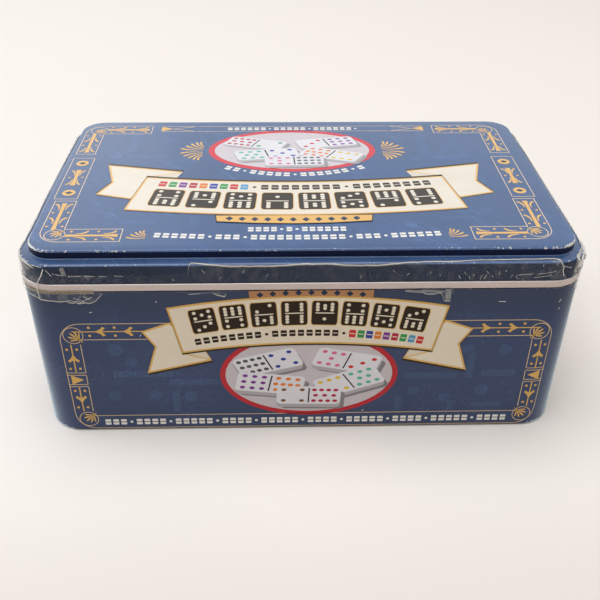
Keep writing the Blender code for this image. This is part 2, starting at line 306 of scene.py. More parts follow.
def pick(mode, test):
    """In edit mode, select only the vertices or the faces that pass the test."""
    bpy.ops.mesh.select_mode(type=mode)
    bpy.ops.mesh.select_all(action='DESELECT')
    held = bpy.context.view_layer.objects.active.data
    mesh = bmesh.from_edit_mesh(held)
    if mode == 'FACE':
        passed = [face for face in mesh.faces if test(face.calc_center_median(), face.normal)]
    else:
        passed = [vertex for vertex in mesh.verts if test(vertex.co)]
    for part in passed:
        part.select_set(True)
    mesh.select_flush_mode()
    bmesh.update_edit_mesh(held)


def raise_faces(rise):
    """Extrude what is selected straight up, or down where the rise is below zero."""
    bpy.ops.mesh.extrude_region_move(TRANSFORM_OT_translate={"value": (0, 0, rise)})


def face_outwards():
    """Select all of the piece in edit mode and point its faces outwards."""
    bpy.ops.mesh.select_all(action='SELECT')
    bpy.ops.mesh.normals_make_consistent(inside=False)


def modify(piece, kind, **settings):
    """Add a modifier to a piece and apply it."""
    take(piece)
    modifier = piece.modifiers.new(kind.title(), kind)
    for key, value in settings.items():
        setattr(modifier, key, value)
    bpy.ops.object.modifier_apply(modifier=modifier.name)
    return piece


def smooth(piece, angle=SMOOTH_ANGLE):
    """Shade a piece smooth on its rounds and sharp at its edges."""
    take(piece)
    bpy.ops.object.shade_smooth_by_angle(angle=angle)
    return piece


def join(pieces, name):
    """Join several pieces into the first of them."""
    take(pieces[0])
    for piece in pieces:
        piece.select_set(True)
    bpy.ops.object.join()
    pieces[0].name = pieces[0].data.name = name
    return pieces[0]


def copy_of(pattern, place, name=None):
    """A copy of a pattern with its own mesh, put in its place in the mesh."""
    data = pattern.data.copy()
    data.transform(place)
    if place.determinant() < 0:
        data.flip_normals()
    piece = bpy.data.objects.new(name or pattern.name, data)
    bpy.context.scene.collection.objects.link(piece)
    return piece


def discard(*pieces):
    """Remove patterns and cutters that have done their work."""
    for piece in pieces:
        bpy.data.objects.remove(piece, do_unlink=True)


def paint(piece, *coats):
    """Give a piece its finishes: each face takes the last coat whose test it passes."""
    piece.data.materials.clear()
    for number, (material, test) in enumerate(coats):
        piece.data.materials.append(material)
        for face in piece.data.polygons:
            if number == 0 or test(face.center, face.normal):
                face.material_index = number
    return piece


def settle(piece, body, slot, *nodes):
    """Hand a finished piece over: attach it to its body and hide the nodes it stands for. The slot
    is not used.
    """
    put_down()
    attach(piece, body)
    if nodes:
        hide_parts(*nodes)
    return piece


# Finishes

class Finish:
    """A Principled finish, put together from procedural patterns on Object coordinates."""

    def __init__(self, name, roughness, **sockets):
        self.material = bpy.data.materials.new(name)
        self.material.use_nodes = True
        self.tree = self.material.node_tree
        self.shader = self.tree.nodes["Principled BSDF"]
        self.place = self.tree.nodes.new("ShaderNodeTexCoord").outputs["Object"]
        self.shader.inputs["Roughness"].default_value = roughness
        for socket, value in sockets.items():
            self.shader.inputs[socket.replace("_", " ")].default_value = value

    def add(self, kind, inputs, output=0, **settings):
        """Add a node, set it, feed its sockets with values or links, and give its output."""
        node = self.tree.nodes.new("ShaderNode" + kind)
        for key, value in settings.items():
            setattr(node, key, value)
        for socket, source in inputs.items():
            if isinstance(source, bpy.types.NodeSocket):
                self.tree.links.new(source, node.inputs[socket])
            else:
                node.inputs[socket].default_value = source
        return node.outputs[output]

    def axes(self):
        """The three Object coordinates, one by one."""
        return self.add("SeparateXYZ", {0: self.place}).node.outputs[:3]

    def stretched(self, x, y, z):
        """Object coordinates, stretched along an axis where its figure is below one."""
        return self.add("Mapping", {"Vector": self.place, "Scale": (x, y, z)})

    def cloud(self, size, detail=3.0, rough=0.55, place=None, twist=0.0):
        """Noise from 0 to 1 with lumps of about this size."""
        return self.add("TexNoise", {"Vector": place or self.place, "Scale": 1 / size,
                                     "Detail": detail, "Roughness": rough,
                                     "Distortion": twist})

    def cells(self, size, randomness=1.0, feature='F1'):
        """Distance to the nearest of scattered points."""
        return self.add("TexVoronoi", {"Vector": self.place, "Scale": 1 / size,
                                       "Randomness": randomness}, feature=feature)

    def rise(self, value, low, high, bottom=0.0, top=1.0):
        """Eased from bottom to top as the value goes from low to high."""
        return self.add("MapRange", {0: value, 1: low, 2: high, 3: bottom, 4: top},
                        interpolation_type='SMOOTHSTEP')

    def sum(self, operation, first, second=0.0):
        """Arithmetic on two values."""
        return self.add("Math", {0: first, 1: second}, operation=operation)

    def between(self, share, first, second):
        """A colour between two others."""
        ends = [end if isinstance(end, bpy.types.NodeSocket) else (*end, 1)
                for end in (first, second)]
        return self.add("Mix", {0: share, 6: ends[0], 7: ends[1]}, output=2, data_type='RGBA')

    def bump(self, height, strength, distance, below=None):
        """A bump that can lie over another."""
        inputs = {"Height": height, "Strength": strength, "Distance": distance}
        if below is not None:
            inputs["Normal"] = below
        return self.add("Bump", inputs)

    def feed(self, **sources):
        """Link patterns into the shader's sockets."""
        for socket, source in sources.items():
            self.tree.links.new(source, self.shader.inputs[socket.replace("_", " ")])
        return self.material


def shade(tone, share):
    """A colour made darker or lighter by one share, or by one for each channel."""
    shares = share if isinstance(share, tuple) else (share,) * 3
    return tuple(min(part * each, 1) for part, each in zip(tone, shares))


def once(make):
    """Make a finish of one name only once, and give the same one when it is asked for again."""
    @wraps(make)
    def kept(name, *values, **settings):
        return bpy.data.materials.get(name) or make(name, *values, **settings)
    return kept


def varnished(name, rough, gloss):
    """A finish under varnish, with a bluish dust on it."""
    return Finish(name, rough, Coat_Weight=gloss.coat, Coat_IOR=gloss.index, Coat_Roughness=0.14,
                  IOR=1.5, Specular_IOR_Level=gloss.under, Sheen_Weight=gloss.dust,
                  Sheen_Roughness=0.3, Sheen_Tint=(0.50, 0.80, 1.0, 1.0))


def flow(coat):
    """The skin of varnish on sheet: a fine ripple over long shallow waves."""
    ripple = coat.bump(coat.cloud(0.0016, 2.0), 0.015, 0.0002)
    return coat.bump(coat.cloud(0.030, 1.0), 0.06, 0.002, ripple)


def chip_and_highlight(coat, ground, wear_and_highlight, axes):
    """The ground with its lacquer chipped off at the tin's corners and in patches; at the foot the
    same mask paints a highlight.
    """
    across, along, height = axes
    side = coat.rise(coat.sum('ABSOLUTE', across), HALF_WIDTH - CORNER_REACH,
                     HALF_WIDTH - CORNER_FADE)
    end = coat.rise(coat.sum('ABSOLUTE', along), HALF_DEPTH - CORNER_REACH,
                    HALF_DEPTH - CORNER_FADE)
    corner = coat.sum('MULTIPLY', side, end)
    corner = coat.sum('MULTIPLY', corner, coat.rise(height, wear_and_highlight.top, wear_and_highlight.top - TOP_FADE))
    patch = coat.rise(coat.cloud(0.014, 2.0), 0.45, 0.70, min(wear_and_highlight.patches, 0.0), wear_and_highlight.patches)
    spread = coat.sum('ADD', coat.sum('MULTIPLY', corner, wear_and_highlight.corners), patch)
    scuff = coat.sum('ADD', coat.cloud(0.0011, 3.0, 0.7), spread)
    return coat.between(coat.rise(scuff, 0.64, 0.71), ground, wear_and_highlight.bare)


@once
def lacquer(name, tone, gloss=LID_GLOSS, wear_and_highlight=None, cloudy=0.16):
    """Printed lacquer on tinplate: a cloudy ground with specks and streaks, and some wear, which
    at the foot's corners is a painted highlight.

    With the wall's gloss it takes painted shade close under the hem.
    """
    coat = varnished(name, 0.30, gloss)
    drift = coat.cloud(0.035, 5.0, 0.62)
    speck = coat.cloud(0.0011, 2.0)
    ground = coat.between(drift, shade(tone, 1 - cloudy), shade(tone, 1 + cloudy))
    ground = coat.between(coat.rise(speck, 0.60, 0.78, 0.0, 0.25), ground, shade(tone, 1.9))
    rubbed = coat.add("Mapping", {"Vector": coat.place, "Rotation": (0, 0, 0.7),
                                  "Scale": (1, 9, 1)}, vector_type='TEXTURE')
    streak = coat.sum('MULTIPLY', coat.rise(coat.cloud(0.0008, 2.0, place=rubbed), 0.50, 0.68),
                      coat.rise(coat.cloud(0.020, 2.0), 0.46, 0.62, 0.0, 0.55))
    ground = coat.between(streak, ground, shade(tone, 1.8))
    axes = coat.axes()
    # Painted shade: the wall's ground turns darker and warmer close under the hem
    if gloss == WALL_GLOSS:
        ground = coat.between(coat.rise(axes[2], HEM_SHADE_HEIGHT - HEM_SHADE_START, HEM_SHADE_HEIGHT, 0.0, 0.9),
                              ground, shade(tone, HEM_SHADE_TINT))
    if wear_and_highlight:
        ground = chip_and_highlight(coat, ground, wear_and_highlight, axes)
    return coat.feed(Base_Color=ground, Normal=flow(coat),
                     Roughness=coat.rise(drift, 0.3, 0.7, 0.24, 0.34))


@once
def ink(name, tone, gloss, cloudy=0.07):
    """Printing ink under varnish."""
    coat = varnished(name, 0.34, gloss)
    drift = coat.cloud(0.012, 4.0, 0.6)
    grain = coat.cloud(0.0005, 1.0)
    layer = coat.between(drift, shade(tone, 1 - cloudy), shade(tone, 1 + cloudy))
    layer = coat.between(coat.rise(grain, 0.55, 0.75, 0.0, 0.18), layer, shade(tone, 0.82))
    return coat.feed(Base_Color=layer, Normal=flow(coat),
                     Roughness=coat.rise(drift, 0.3, 0.7, 0.30, 0.38))


@once
def bare_tin(name, tone, rough=0.30):
    """Bare tinplate, faintly rolled along its length and dulled in patches."""
    metal = Finish(name, rough, Metallic=1.0)
    rolled = metal.cloud(0.0007, 3.0, place=metal.stretched(0.04, 1, 1))
    dull = metal.cloud(0.018, 4.0, 0.6)
    face = metal.between(dull, shade(tone, 0.88), shade(tone, 1.10))
    return metal.feed(Base_Color=face, Normal=metal.bump(rolled, 0.06, 0.0003),
                      Roughness=metal.rise(dull, 0.3, 0.7, rough - 0.06, rough + 0.10))


@once
def plastic(name, tone, rough=0.22):
    """Moulded plastic with a faint cloud and a fine moulded skin."""
    body = Finish(name, rough, IOR=1.5)
    cloud = body.cloud(0.011, 3.0)
    face = body.between(cloud, shade(tone, 0.95), shade(tone, 1.04))
    return body.feed(Base_Color=face, Normal=body.bump(body.cloud(0.0009, 2.0), 0.05, 0.0002),
                     Roughness=body.rise(cloud, 0.3, 0.7, rough - 0.04, rough + 0.07))


@once
def paper(name, tone):
    """Uncoated paper with fibres and a soft tooth."""
    sheet = Finish(name, 0.82, Specular_IOR_Level=0.25)
    fibre = sheet.cloud(0.0008, 5.0, 0.7, place=sheet.stretched(1, 0.35, 1))
    face = sheet.between(fibre, shade(tone, 0.93), shade(tone, 1.05))
    return sheet.feed(Base_Color=face, Normal=sheet.bump(fibre, 0.15, 0.0001))


def clear_film(name, tone, rim):
    """Shrink film: clear where it is tight, and whitish where it is creased or torn; the whitish
    creases and facets are partly painted highlights of its folds.
    """
    film = Finish(name, 0.16, IOR=1.5)
    haze = film.add("Attribute", {}, output=2, attribute_name="haze")
    edge = film.add("Attribute", {}, output=2, attribute_name="edge")
    fold = film.sum('ABSOLUTE', film.sum('SUBTRACT', film.cloud(0.0036, 2.0, 0.5, twist=1.0), 0.5))
    line = film.rise(fold, 0.022, 0.0, 0.0, 0.8)
    facet = film.add("TexVoronoi", {"Vector": film.stretched(1, 1, 0.55), "Scale": 1 / 0.0021},
                     output=1)
    facet = film.rise(film.add("SeparateXYZ", {0: facet}), 0.62, 0.72, 0.0, 0.9)
    fine = film.cloud(0.0011, 4.0, 0.7, twist=1.5)
    # Painted highlights: whitish lines and facets stand partly for light caught on the film's
    # folds
    crinkle_and_glint = film.sum('MAXIMUM', line, film.sum('MAXIMUM', facet, film.rise(fine, 0.60, 0.72)))
    cover = film.sum('MULTIPLY', haze, film.sum('ADD', film.sum('MULTIPLY', crinkle_and_glint, 0.85), 0.12))
    torn = film.sum('MULTIPLY', edge, film.rise(fine, 0.25, 0.45, 0.55, 0.95))
    cover = film.sum('ADD', film.sum('MAXIMUM', cover, torn), 0.004)
    face = film.between(fine, shade(tone, 0.86), shade(tone, 1.08))
    face = film.between(edge, face, rim)
    skin = film.bump(film.cells(0.0021), 0.5, 0.0008)
    return film.feed(Base_Color=face, Alpha=cover, Normal=skin)


@once
def crease_film(name, tone, cover):
    """Film where it is folded hard: a broken line, partly a painted highlight of the fold, and
    thinner where its cover is low.
    """
    fold = Finish(name, 0.30, IOR=1.5)
    fine = fold.cloud(0.0009, 4.0, 0.7)
    return fold.feed(Base_Color=fold.between(fine, shade(tone, 0.9), shade(tone, 1.1)),
                     Alpha=fold.rise(fine, 0.35, 0.60, cover * 0.45, cover))


def named_inks(place):
    """The finishes of the print on the lid or on the wall, by name."""
    tones = bpy.context.scene.tin_colours
    ground = getattr(tones, place + "_blue")
    inks = {"ghost": lacquer(place + "_ghost_lacquer", shade(ground, GHOST_TINTS[place]),
                             {"lid": LID_GLOSS, "wall": WALL_GLOSS}[place])}
    palette = {"gold": tones.gold, "line": tones.line, "strip": tones.gold, "red": tones.red,
               "cream": tones.cream, "pale": tones.pale, "black": tones.black,
               "picture": tones.picture, "white": (0.80, 0.81, 0.88), "grey": (0.36, 0.34, 0.37),
               "tile_side": (0.50, 0.49, 0.52), "shadow": shade(tones.gold, 0.05),
               "navy": shade(tones.lid_blue, 0.35), "fold": shade(tones.cream, 0.9), **PIP_COLOURS}
    for name, tone in palette.items():
        # On the wall each ink takes painted shade
        wall_shade = WALL_SHADE_TINTS.get(name, WALL_SHADE_TINTS["cream"]) if place == "wall" else 1.0
        inks[name] = ink(f"{place}_{name}_ink", shade(tone, wall_shade), INK_GLOSS[place])
    return inks


def pip_places(value):
    """Middles of the pips on one half of a tile, in steps from the half's middle."""
    if value in (2, 3):
        return [(-0.9, -0.9), (0.9, 0.9)] + [(0, 0)] * (value - 2)
    places = []
    for row, count in zip((-1, 0, 1), PIP_ROWS[value]):
        steps = (-0.45, 0.45) if (value, row) == (8, 0) else PIP_STEPS[count]
        places += [(step, row) for step in steps]
    return places


# Pressed sheet

def arc(inset, height, radius, start, end, steps=6):
    """A section's round corner, in quarter turns; 0 looks inwards and 1 looks up."""
    turns = [mid(start, end, step / steps) * QUARTER for step in range(steps + 1)]
    return [(inset + radius * math.cos(turn), height + radius * math.sin(turn))
            for turn in turns]


def plate(name, half_x, half_y, radius, height, steps):
    """A flat rounded plate, open for editing."""
    piece = begin(name, bpy.ops.mesh.primitive_plane_add, size=2, location=(0, 0, height))
    bpy.ops.transform.resize(value=(half_x, half_y, 1))
    bpy.ops.mesh.bevel(offset=radius, offset_type='OFFSET', segments=steps, affect='VERTICES')
    return piece


def press(section):
    """Carry the selected face along a section, from its first point to its last."""
    for (inset, height), (next_inset, next_height) in zip(section, section[1:]):
        step, rise = next_inset - inset, next_height - height
        if step > 1e-7:
            bpy.ops.mesh.inset(thickness=step, depth=0, use_even_offset=True)
            bpy.ops.transform.translate(value=(0, 0, rise))
        else:
            raise_faces(rise)


def pressing(name, low, high, inset, over, under):
    """A round-cornered drum from low to high, with its ends carried along two sections."""
    size = bpy.context.scene.tin_sizes
    piece = plate(name, HALF_WIDTH - inset, HALF_DEPTH - inset, size.corner_radius - inset,
                  low, size.corner_steps)
    raise_faces(high - low)
    face_outwards()
    pick('FACE', lambda at, normal: normal.z > 0.9)
    press([(inset, high)] + over)
    pick('FACE', lambda at, normal: normal.z < -0.9 and abs(at.z - low) < 1e-6)
    press([(inset, low)] + under)
    close()
    return piece


def facing_out(at, normal):
    """Whether a face looks up or away from the tin's middle."""
    radius = bpy.context.scene.tin_sizes.corner_radius
    flat_x, flat_y = HALF_WIDTH - radius, HALF_DEPTH - radius
    out = Vector((at.x - min(max(at.x, -flat_x), flat_x),
                  at.y - min(max(at.y, -flat_y), flat_y), 0))
    return normal.z > 0.3 or out.dot(normal) > 0


def band(low, high):
    """A test for outer faces that lie between two heights."""
    return lambda at, normal: facing_out(at, normal) and low < at.z < high


def rim_point(way, inset, height):
    """A point on the tin's outline, this way round it from the middle of the front."""
    radius = bpy.context.scene.tin_sizes.corner_radius
    flat_x, flat_y = HALF_WIDTH - radius, HALF_DEPTH - radius
    turn = radius * QUARTER
    way = (way + flat_x) % (4 * (flat_x + flat_y + turn))
    middles = [(-flat_x, -flat_y), (flat_x, -flat_y), (flat_x, flat_y), (-flat_x, flat_y)]
    for side in range(4):
        ahead = Vector((math.cos(side * QUARTER), math.sin(side * QUARTER), 0))
        out = Vector((ahead.y, -ahead.x, 0))
        run = 2 * (flat_y if side % 2 else flat_x)
        if way <= run:
            start = Vector((*middles[side], height))
            return start + ahead * way + out * (radius - inset)
        way -= run
        if way <= turn or side == 3:
            angle = way / radius
            out = out * math.cos(angle) + ahead * math.sin(angle)
            return Vector((*middles[(side + 1) % 4], height)) + out * (radius - inset)
        way -= turn


def side_way(side):
    """The way round the outline from the front's middle to the middle of a side."""
    radius = bpy.context.scene.tin_sizes.corner_radius
    return side * (HALF_WIDTH + HALF_DEPTH - 2 * radius + radius * QUARTER)


def make_wall():
    """The wall: one sheet with a foot flange, a ledge under the hem, a neck and a curl."""
    size, tones = bpy.context.scene.tin_sizes, bpy.context.scene.tin_colours
    low, ledge = WALL_LOW.z + size.foot_radius, HEM_BOTTOM - HEM_GAP
    curl = size.neck_inset + size.curl_radius
    over = arc(WALL_SETBACK + LEDGE_ROUND, ledge - LEDGE_ROUND, LEDGE_ROUND, 2, 1, 3)
    over += [(size.neck_inset - NECK_ROUND, ledge), (size.neck_inset, ledge + NECK_ROUND)]
    over += arc(curl, NECK_TOP - size.curl_radius, size.curl_radius, 2, 0, 8)
    over += [(curl + size.curl_radius, NECK_TOP - CURL_REACH)]
    foot = WALL_SETBACK + size.foot_radius
    under = arc(foot, low, size.foot_radius, 2, 3, 5)
    under += [(foot + size.foot_flange, WALL_LOW.z)]
    piece = pressing("wall_sheet", low, ledge - LEDGE_ROUND, WALL_SETBACK, over[1:], under[1:])
    reopen(piece, 'FACE')
    pick('FACE', lambda at, normal: math.hypot(at.x, at.y) < MM)
    bpy.ops.mesh.delete(type='FACE')
    close()
    modify(piece, 'SOLIDIFY', thickness=size.sheet, offset=-1, use_even_offset=True)
    smooth(piece)
    # The wall's lacquer has a painted highlight at the foot's corners
    paint(piece, (bare_tin("inside_tin", tones.tinplate, 0.34), None),
          (lacquer("wall_lacquer", tones.wall_blue, WALL_GLOSS, FOOT_CORNER_HIGHLIGHT), facing_out),
          (lacquer("neck_lacquer", tones.wall_blue, WALL_GLOSS, NECK_WEAR),
           band(ledge - NECK_ROUND, TIN_TOP)),
          # Painted shade: a dark band where the wall meets the floor
          (lacquer("foot_lacquer", shade(tones.wall_blue, 0.4), NO_GLOSS, FOOT_CORNER_HIGHLIGHT),
           band(WALL_LOW.z - FOOT_SHADE_BAND, WALL_LOW.z + FOOT_SHADE_BAND)))
    settle(piece, "root", "printed_tin", "tin_wall")


def make_seam():
    """The lock seam that closes the wall, down the back near one corner."""
    tones = bpy.context.scene.tin_colours
    piece = begin("wall_seam", bpy.ops.mesh.primitive_cube_add, size=1)
    bpy.ops.transform.resize(value=(SEAM_WIDE, SEAM_HIGH, HEM_BOTTOM - SEAM_FOOT - SEAM_HEAD))
    pick('FACE', lambda at, normal: normal.y > 0.9)
    bpy.ops.mesh.inset(thickness=SEAM_SLOPE, depth=0)
    bpy.ops.transform.translate(value=(0, SEAM_STEP, 0))
    bpy.ops.mesh.select_all(action='SELECT')
    bpy.ops.transform.translate(value=(-HALF_WIDTH + SEAM_PLACE,
                                       HALF_DEPTH - WALL_SETBACK - SEAM_STEP,
                                       (HEM_BOTTOM + SEAM_FOOT - SEAM_HEAD) / 2))
    close()
    modify(piece, 'BEVEL', width=SEAM_ROUND, segments=2, limit_method='ANGLE')
    smooth(piece)
    paint(piece, (lacquer("wall_lacquer", tones.wall_blue, WALL_GLOSS, FOOT_CORNER_HIGHLIGHT), None),
          (bare_tin("inside_tin", tones.tinplate, 0.34), lambda at, normal: abs(normal.x) > 0.9))
    settle(piece, "root", "printed_tin")


def make_base():
    """The base: a shallow pan that stands inside the wall on its flange."""
    size, tones = bpy.context.scene.tin_sizes, bpy.context.scene.tin_colours
    low, high = (corner.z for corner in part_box("tin_base"))
    inset = HALF_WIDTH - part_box("tin_base")[1].x
    over = arc(inset + BASE_ROUND, high - BASE_ROUND, BASE_ROUND, 2, 1)
    inner, under_top = inset + size.sheet, high - size.sheet
    under = [(inner, low)] + arc(inner + BASE_ROUND, under_top - BASE_ROUND, BASE_ROUND, 2, 1)
    under += list(zip(BEAD_INSETS, (under_top, under_top - BEAD_DEPTH, under_top - BEAD_DEPTH,
                                    under_top)))
    piece = pressing("base_pan", low, high - BASE_ROUND, inset, over[1:], under)
    smooth(piece)
    paint(piece, (bare_tin("base_tin", shade(tones.tinplate, 1.02), 0.28), None))
    settle(piece, "root", "bare_tin", "tin_base")


def make_lid():
    """The lid: a raised panel, a riser, a shoulder, a skirt and a rolled hem."""
    size, tones = bpy.context.scene.tin_sizes, bpy.context.scene.tin_colours
    shoulder = TIN_TOP - size.riser
    edge_height = shoulder - size.shoulder_fall
    hem_top = HEM_BOTTOM + size.hem_height
    panel = size.panel_inset + size.panel_edge
    foot = size.panel_inset - size.riser_foot
    edge = size.hem_bulge + size.shoulder_radius
    bulge, sheet = size.hem_bulge, size.sheet

    over = arc(bulge, hem_top - bulge, bulge, 2, 1)
    over += [(bulge + 0.00001, hem_top + 0.0001)]
    over += arc(edge, edge_height - size.shoulder_radius, size.shoulder_radius, 2, 1)
    over += arc(foot, shoulder + size.riser_foot, size.riser_foot, -1, 0, 4)
    over += arc(panel, TIN_TOP - size.panel_edge, size.panel_edge, 2, 1)
    over += [(panel + 0.004, TIN_TOP)]
    inner = bulge + sheet
    under = arc(bulge, HEM_BOTTOM + bulge, bulge, 2, 3) + [(inner, HEM_BOTTOM)]
    under += arc(edge, edge_height - size.shoulder_radius, size.shoulder_radius - sheet, 2, 1, 4)
    under += arc(foot, shoulder + size.riser_foot, size.riser_foot + sheet, -1, 0, 4)
    under += arc(panel, TIN_TOP - size.panel_edge, size.panel_edge - sheet, 2, 1, 4)
    piece = pressing("lid_pressing", HEM_BOTTOM + bulge, hem_top - bulge, 0, over[1:], under[1:])
    smooth(piece)
    skirt_top, panel_low = edge_height - 0.0006, TIN_TOP - 0.0009
    paint(piece, (bare_tin("inside_tin", tones.tinplate, 0.34), None),
          (lacquer("lid_lacquer", tones.lid_blue), facing_out),
          # Painted shade: the shoulder's flat takes a darker copy of the lid's lacquer
          (lacquer("step_lacquer", shade(tones.lid_blue, 0.77)),
           band(edge_height - 0.0002, shoulder + 0.0004)),
          (lacquer("skirt_lacquer", tones.skirt_blue, SKIRT_GLOSS), band(0, skirt_top)),
          (lacquer("riser_lacquer", tones.riser_blue, NO_GLOSS),
           band(shoulder + 0.0003, panel_low)),
          (lacquer("shoulder_lacquer", tones.lid_blue, wear_and_highlight=SHOULDER_WEAR),
           band(skirt_top, edge_height - 0.0001)),
          (lacquer("panel_edge_lacquer", tones.lid_blue, wear_and_highlight=PANEL_WEAR),
           band(panel_low, TIN_TOP - 0.00003)),
          (bare_tin("hem_tin", tones.tinplate, 0.36),
           lambda at, normal: facing_out(at, normal) and at.z < hem_top - 0.00005
           or at.z < HEM_BOTTOM + 0.0004))
    settle(piece, "lid", "printed_tin", "lid_shell")


# Print: motifs and drawings, in millimetres

# Thin lines and rims, dots, a printed tile's face, how flat a tile looks that lies aslant in
# the picture, and the layer where the ribbon starts
LINE, DOT, FACE, ASLANT, RIBBON_LAYER = 0.32, 1.15, 11, 0.72, 17


def outline(name, corners):
    """A flat motif, drawn corner by corner and filled, with its face up."""
    piece = begin(name, bpy.ops.mesh.primitive_plane_add, size=1)
    bpy.ops.mesh.merge(type='CENTER')
    bpy.ops.transform.translate(value=(*corners[0], 0))
    for here, there in zip(corners, corners[1:] + corners[:1]):
        step = (there[0] - here[0], there[1] - here[1], 0)
        bpy.ops.mesh.extrude_vertices_move(TRANSFORM_OT_translate={"value": step})
    bpy.ops.mesh.select_all(action='SELECT')
    bpy.ops.mesh.remove_doubles(threshold=0.0001)
    bpy.ops.mesh.edge_face_add()
    face_up()
    return piece


def face_up():
    """Turn the faces of the motif in edit mode up, and leave edit mode."""
    pick('FACE', lambda at, normal: normal.z < 0)
    bpy.ops.mesh.flip_normals()
    bpy.ops.mesh.select_all(action='SELECT')
    close()


def rimmed(piece, width, rim, fill=None):
    """Inset a motif: its rim and its middle take their inks, and one without a fill is open."""
    reopen(piece, 'FACE')
    bpy.ops.mesh.inset(thickness=width, depth=0, use_even_offset=True)
    if fill is None:
        bpy.ops.mesh.delete(type='FACE')
    close()
    piece.data.materials.clear()
    for material in (rim, fill) if fill else (rim,):
        piece.data.materials.append(material)
    for face in piece.data.polygons:
        face.material_index = 1 if fill and face.select else 0
    return piece


def both_sides(half):
    """An outline and its mirror image, for a motif that is symmetric about its Y axis."""
    return half + [(-x, y) for x, y in reversed(half) if abs(x) > 1e-9]


class Drawing:
    """Flat shapes of ink, stamped from motifs and piled up in layers."""

    def __init__(self, inks, motifs):
        self.inks = inks
        self.motifs = motifs
        self.shapes = []

    def stamp(self, motif, x, y, material=None, wide=1, high=None, turn=0.0, layer=1, flat=1):
        """Stamp a motif at a place: sized, turned, and then flattened as if seen aslant."""
        high = wide if high is None else high
        place = Matrix.Translation((x, y, layer)) @ Matrix.Diagonal((1, flat, 1, 1))
        place = place @ Matrix.Rotation(turn, 4, 'Z') @ Matrix.Diagonal((wide, high, 1, 1))
        pattern = self.motifs[motif] if isinstance(motif, str) else motif
        shape = copy_of(pattern, place)
        if material is not None:
            finish = self.inks[material] if isinstance(material, str) else material
            shape.data.materials.clear()
            shape.data.materials.append(finish)
        self.shapes.append(shape)

    def line(self, start, end, material="line", width=LINE, layer=1):
        """A thin straight line."""
        way = Vector(end) - Vector(start)
        middle = (Vector(start) + Vector(end)) / 2
        self.stamp("block", *middle, material, way.length + width * 0.8, width,
                   math.atan2(way.y, way.x), layer)

    def joined(self, name):
        """Everything that was drawn, as one flat piece."""
        piece = join(self.shapes, name)
        self.shapes = []
        return piece


def make_motifs(inks):
    """Every motif of the print, modelled once."""
    motifs = {}
    for name, corners, radius in (("dot", 14, 0.5), ("disc", 40, 0.5), ("triangle", 3, 0.5),
                                  ("diamond", 4, 0.5), ("ring", 40, 4.0), ("eye", 24, 2.7)):
        motifs[name] = begin(name, bpy.ops.mesh.primitive_circle_add, vertices=corners,
                             radius=radius, fill_type='NGON')
        face_up()
    rimmed(motifs["ring"], LINE, inks["line"])
    motifs["block"] = begin("block", bpy.ops.mesh.primitive_plane_add, size=1)
    face_up()
    motifs["tablet"] = plate("tablet", 1.0, 0.5, 0.16, 0, 4)
    face_up()
    motifs["petal"] = outline("petal", both_sides([(0, 0), (0.11, 0.3), (0.19, 0.62),
                                                   (0.17, 0.85), (0.07, 0.98), (0, 1.0)]))
    motifs["plume"] = outline("plume", [(0.15, 0), (0.32, 1.7), (0.80, 3.1), (1.60, 4.15),
                                        (2.25, 4.6), (1.85, 5.3), (0.95, 4.8), (0.20, 3.8),
                                        (-0.20, 2.2), (-0.15, 0)])
    motifs["arrow"] = outline("arrow", both_sides([(0, 0), (0.55, -1.2), (1.2, -2.3),
                                                   (2.3, -3.2), (1.75, -4.3), (0.9, -3.5),
                                                   (0.35, -3.2)]))
    motifs["stalk"] = outline("stalk", both_sides([(0.85, 0), (0.68, 6), (0.62, 14),
                                                   (0.76, 17.5), (1.10, 20)]))
    motifs["waist"] = outline("waist", both_sides([(1.15, -7.4), (0.75, -4), (0.66, 0),
                                                   (0.75, 4), (1.15, 7.4)]))
    return motifs


def spot(x, y, turn, across, along):
    """A place beside another, across and along a direction that is turned from up."""
    return (x + across * math.cos(turn) - along * math.sin(turn),
            y + across * math.sin(turn) + along * math.cos(turn))


def rosette(draw, x, y, turn):
    """A ring that holds a fan of five petals, with the fan's foot crossing the ring."""
    draw.stamp("ring", x, y, layer=2)
    foot = spot(x, y, turn, 0, -3.2)
    for lean, reach in ((0, 4.9), (-0.42, 4.6), (0.42, 4.6), (-0.84, 3.8), (0.84, 3.8)):
        draw.stamp("petal", *foot, "gold", reach * 0.42, reach, turn + lean, 2)
    draw.stamp("petal", *spot(x, y, turn, 0, -4.9), "gold", 2.6, turn=turn, layer=2)


def fan(draw, x, y, turn, reach, sides=(-1, 1), layer=2):
    """Five plumes of a shell, open at its axis, on one or both sides of it."""
    for side in sides:
        for share in (0, 0.25, 0.5, 0.75, 1):
            foot = spot(x, y, turn, -side * reach * mid(0.11, 0.46, share), 0)
            draw.stamp("plume", *foot, "gold", -side * reach * 0.095,
                       reach / 5.3 * (1 - 0.52 * share), turn + side * mid(-0.05, 0.90, share),
                       layer)


def frame_box(draw, x, y, wide, high):
    """A thin rectangle of line."""
    for side in (-1, 1):
        draw.line((x - wide / 2, y + side * high / 2), (x + wide / 2, y + side * high / 2))
        draw.line((x + side * wide / 2, y - high / 2), (x + side * wide / 2, y + high / 2))


def arm(draw, x, y, turn, reach):
    """A stalk that grows out of a rosette, with plumes and dots on both sides."""
    scale = reach / 27.1
    draw.stamp("stalk", *spot(x, y, turn, 0, 3.7), "gold", 1, scale * 1.08, turn, 2)
    for side in (-1, 1):
        for rise in (8.3, 19.6):
            draw.stamp("plume", *spot(x, y, turn, side * 1.35, rise * scale), "gold",
                       side * 1.05, scale, turn, 2)
        for rise in (6.4, 17.4):
            draw.stamp("dot", *spot(x, y, turn, side * 3.0, rise * scale), "gold", DOT, layer=2)


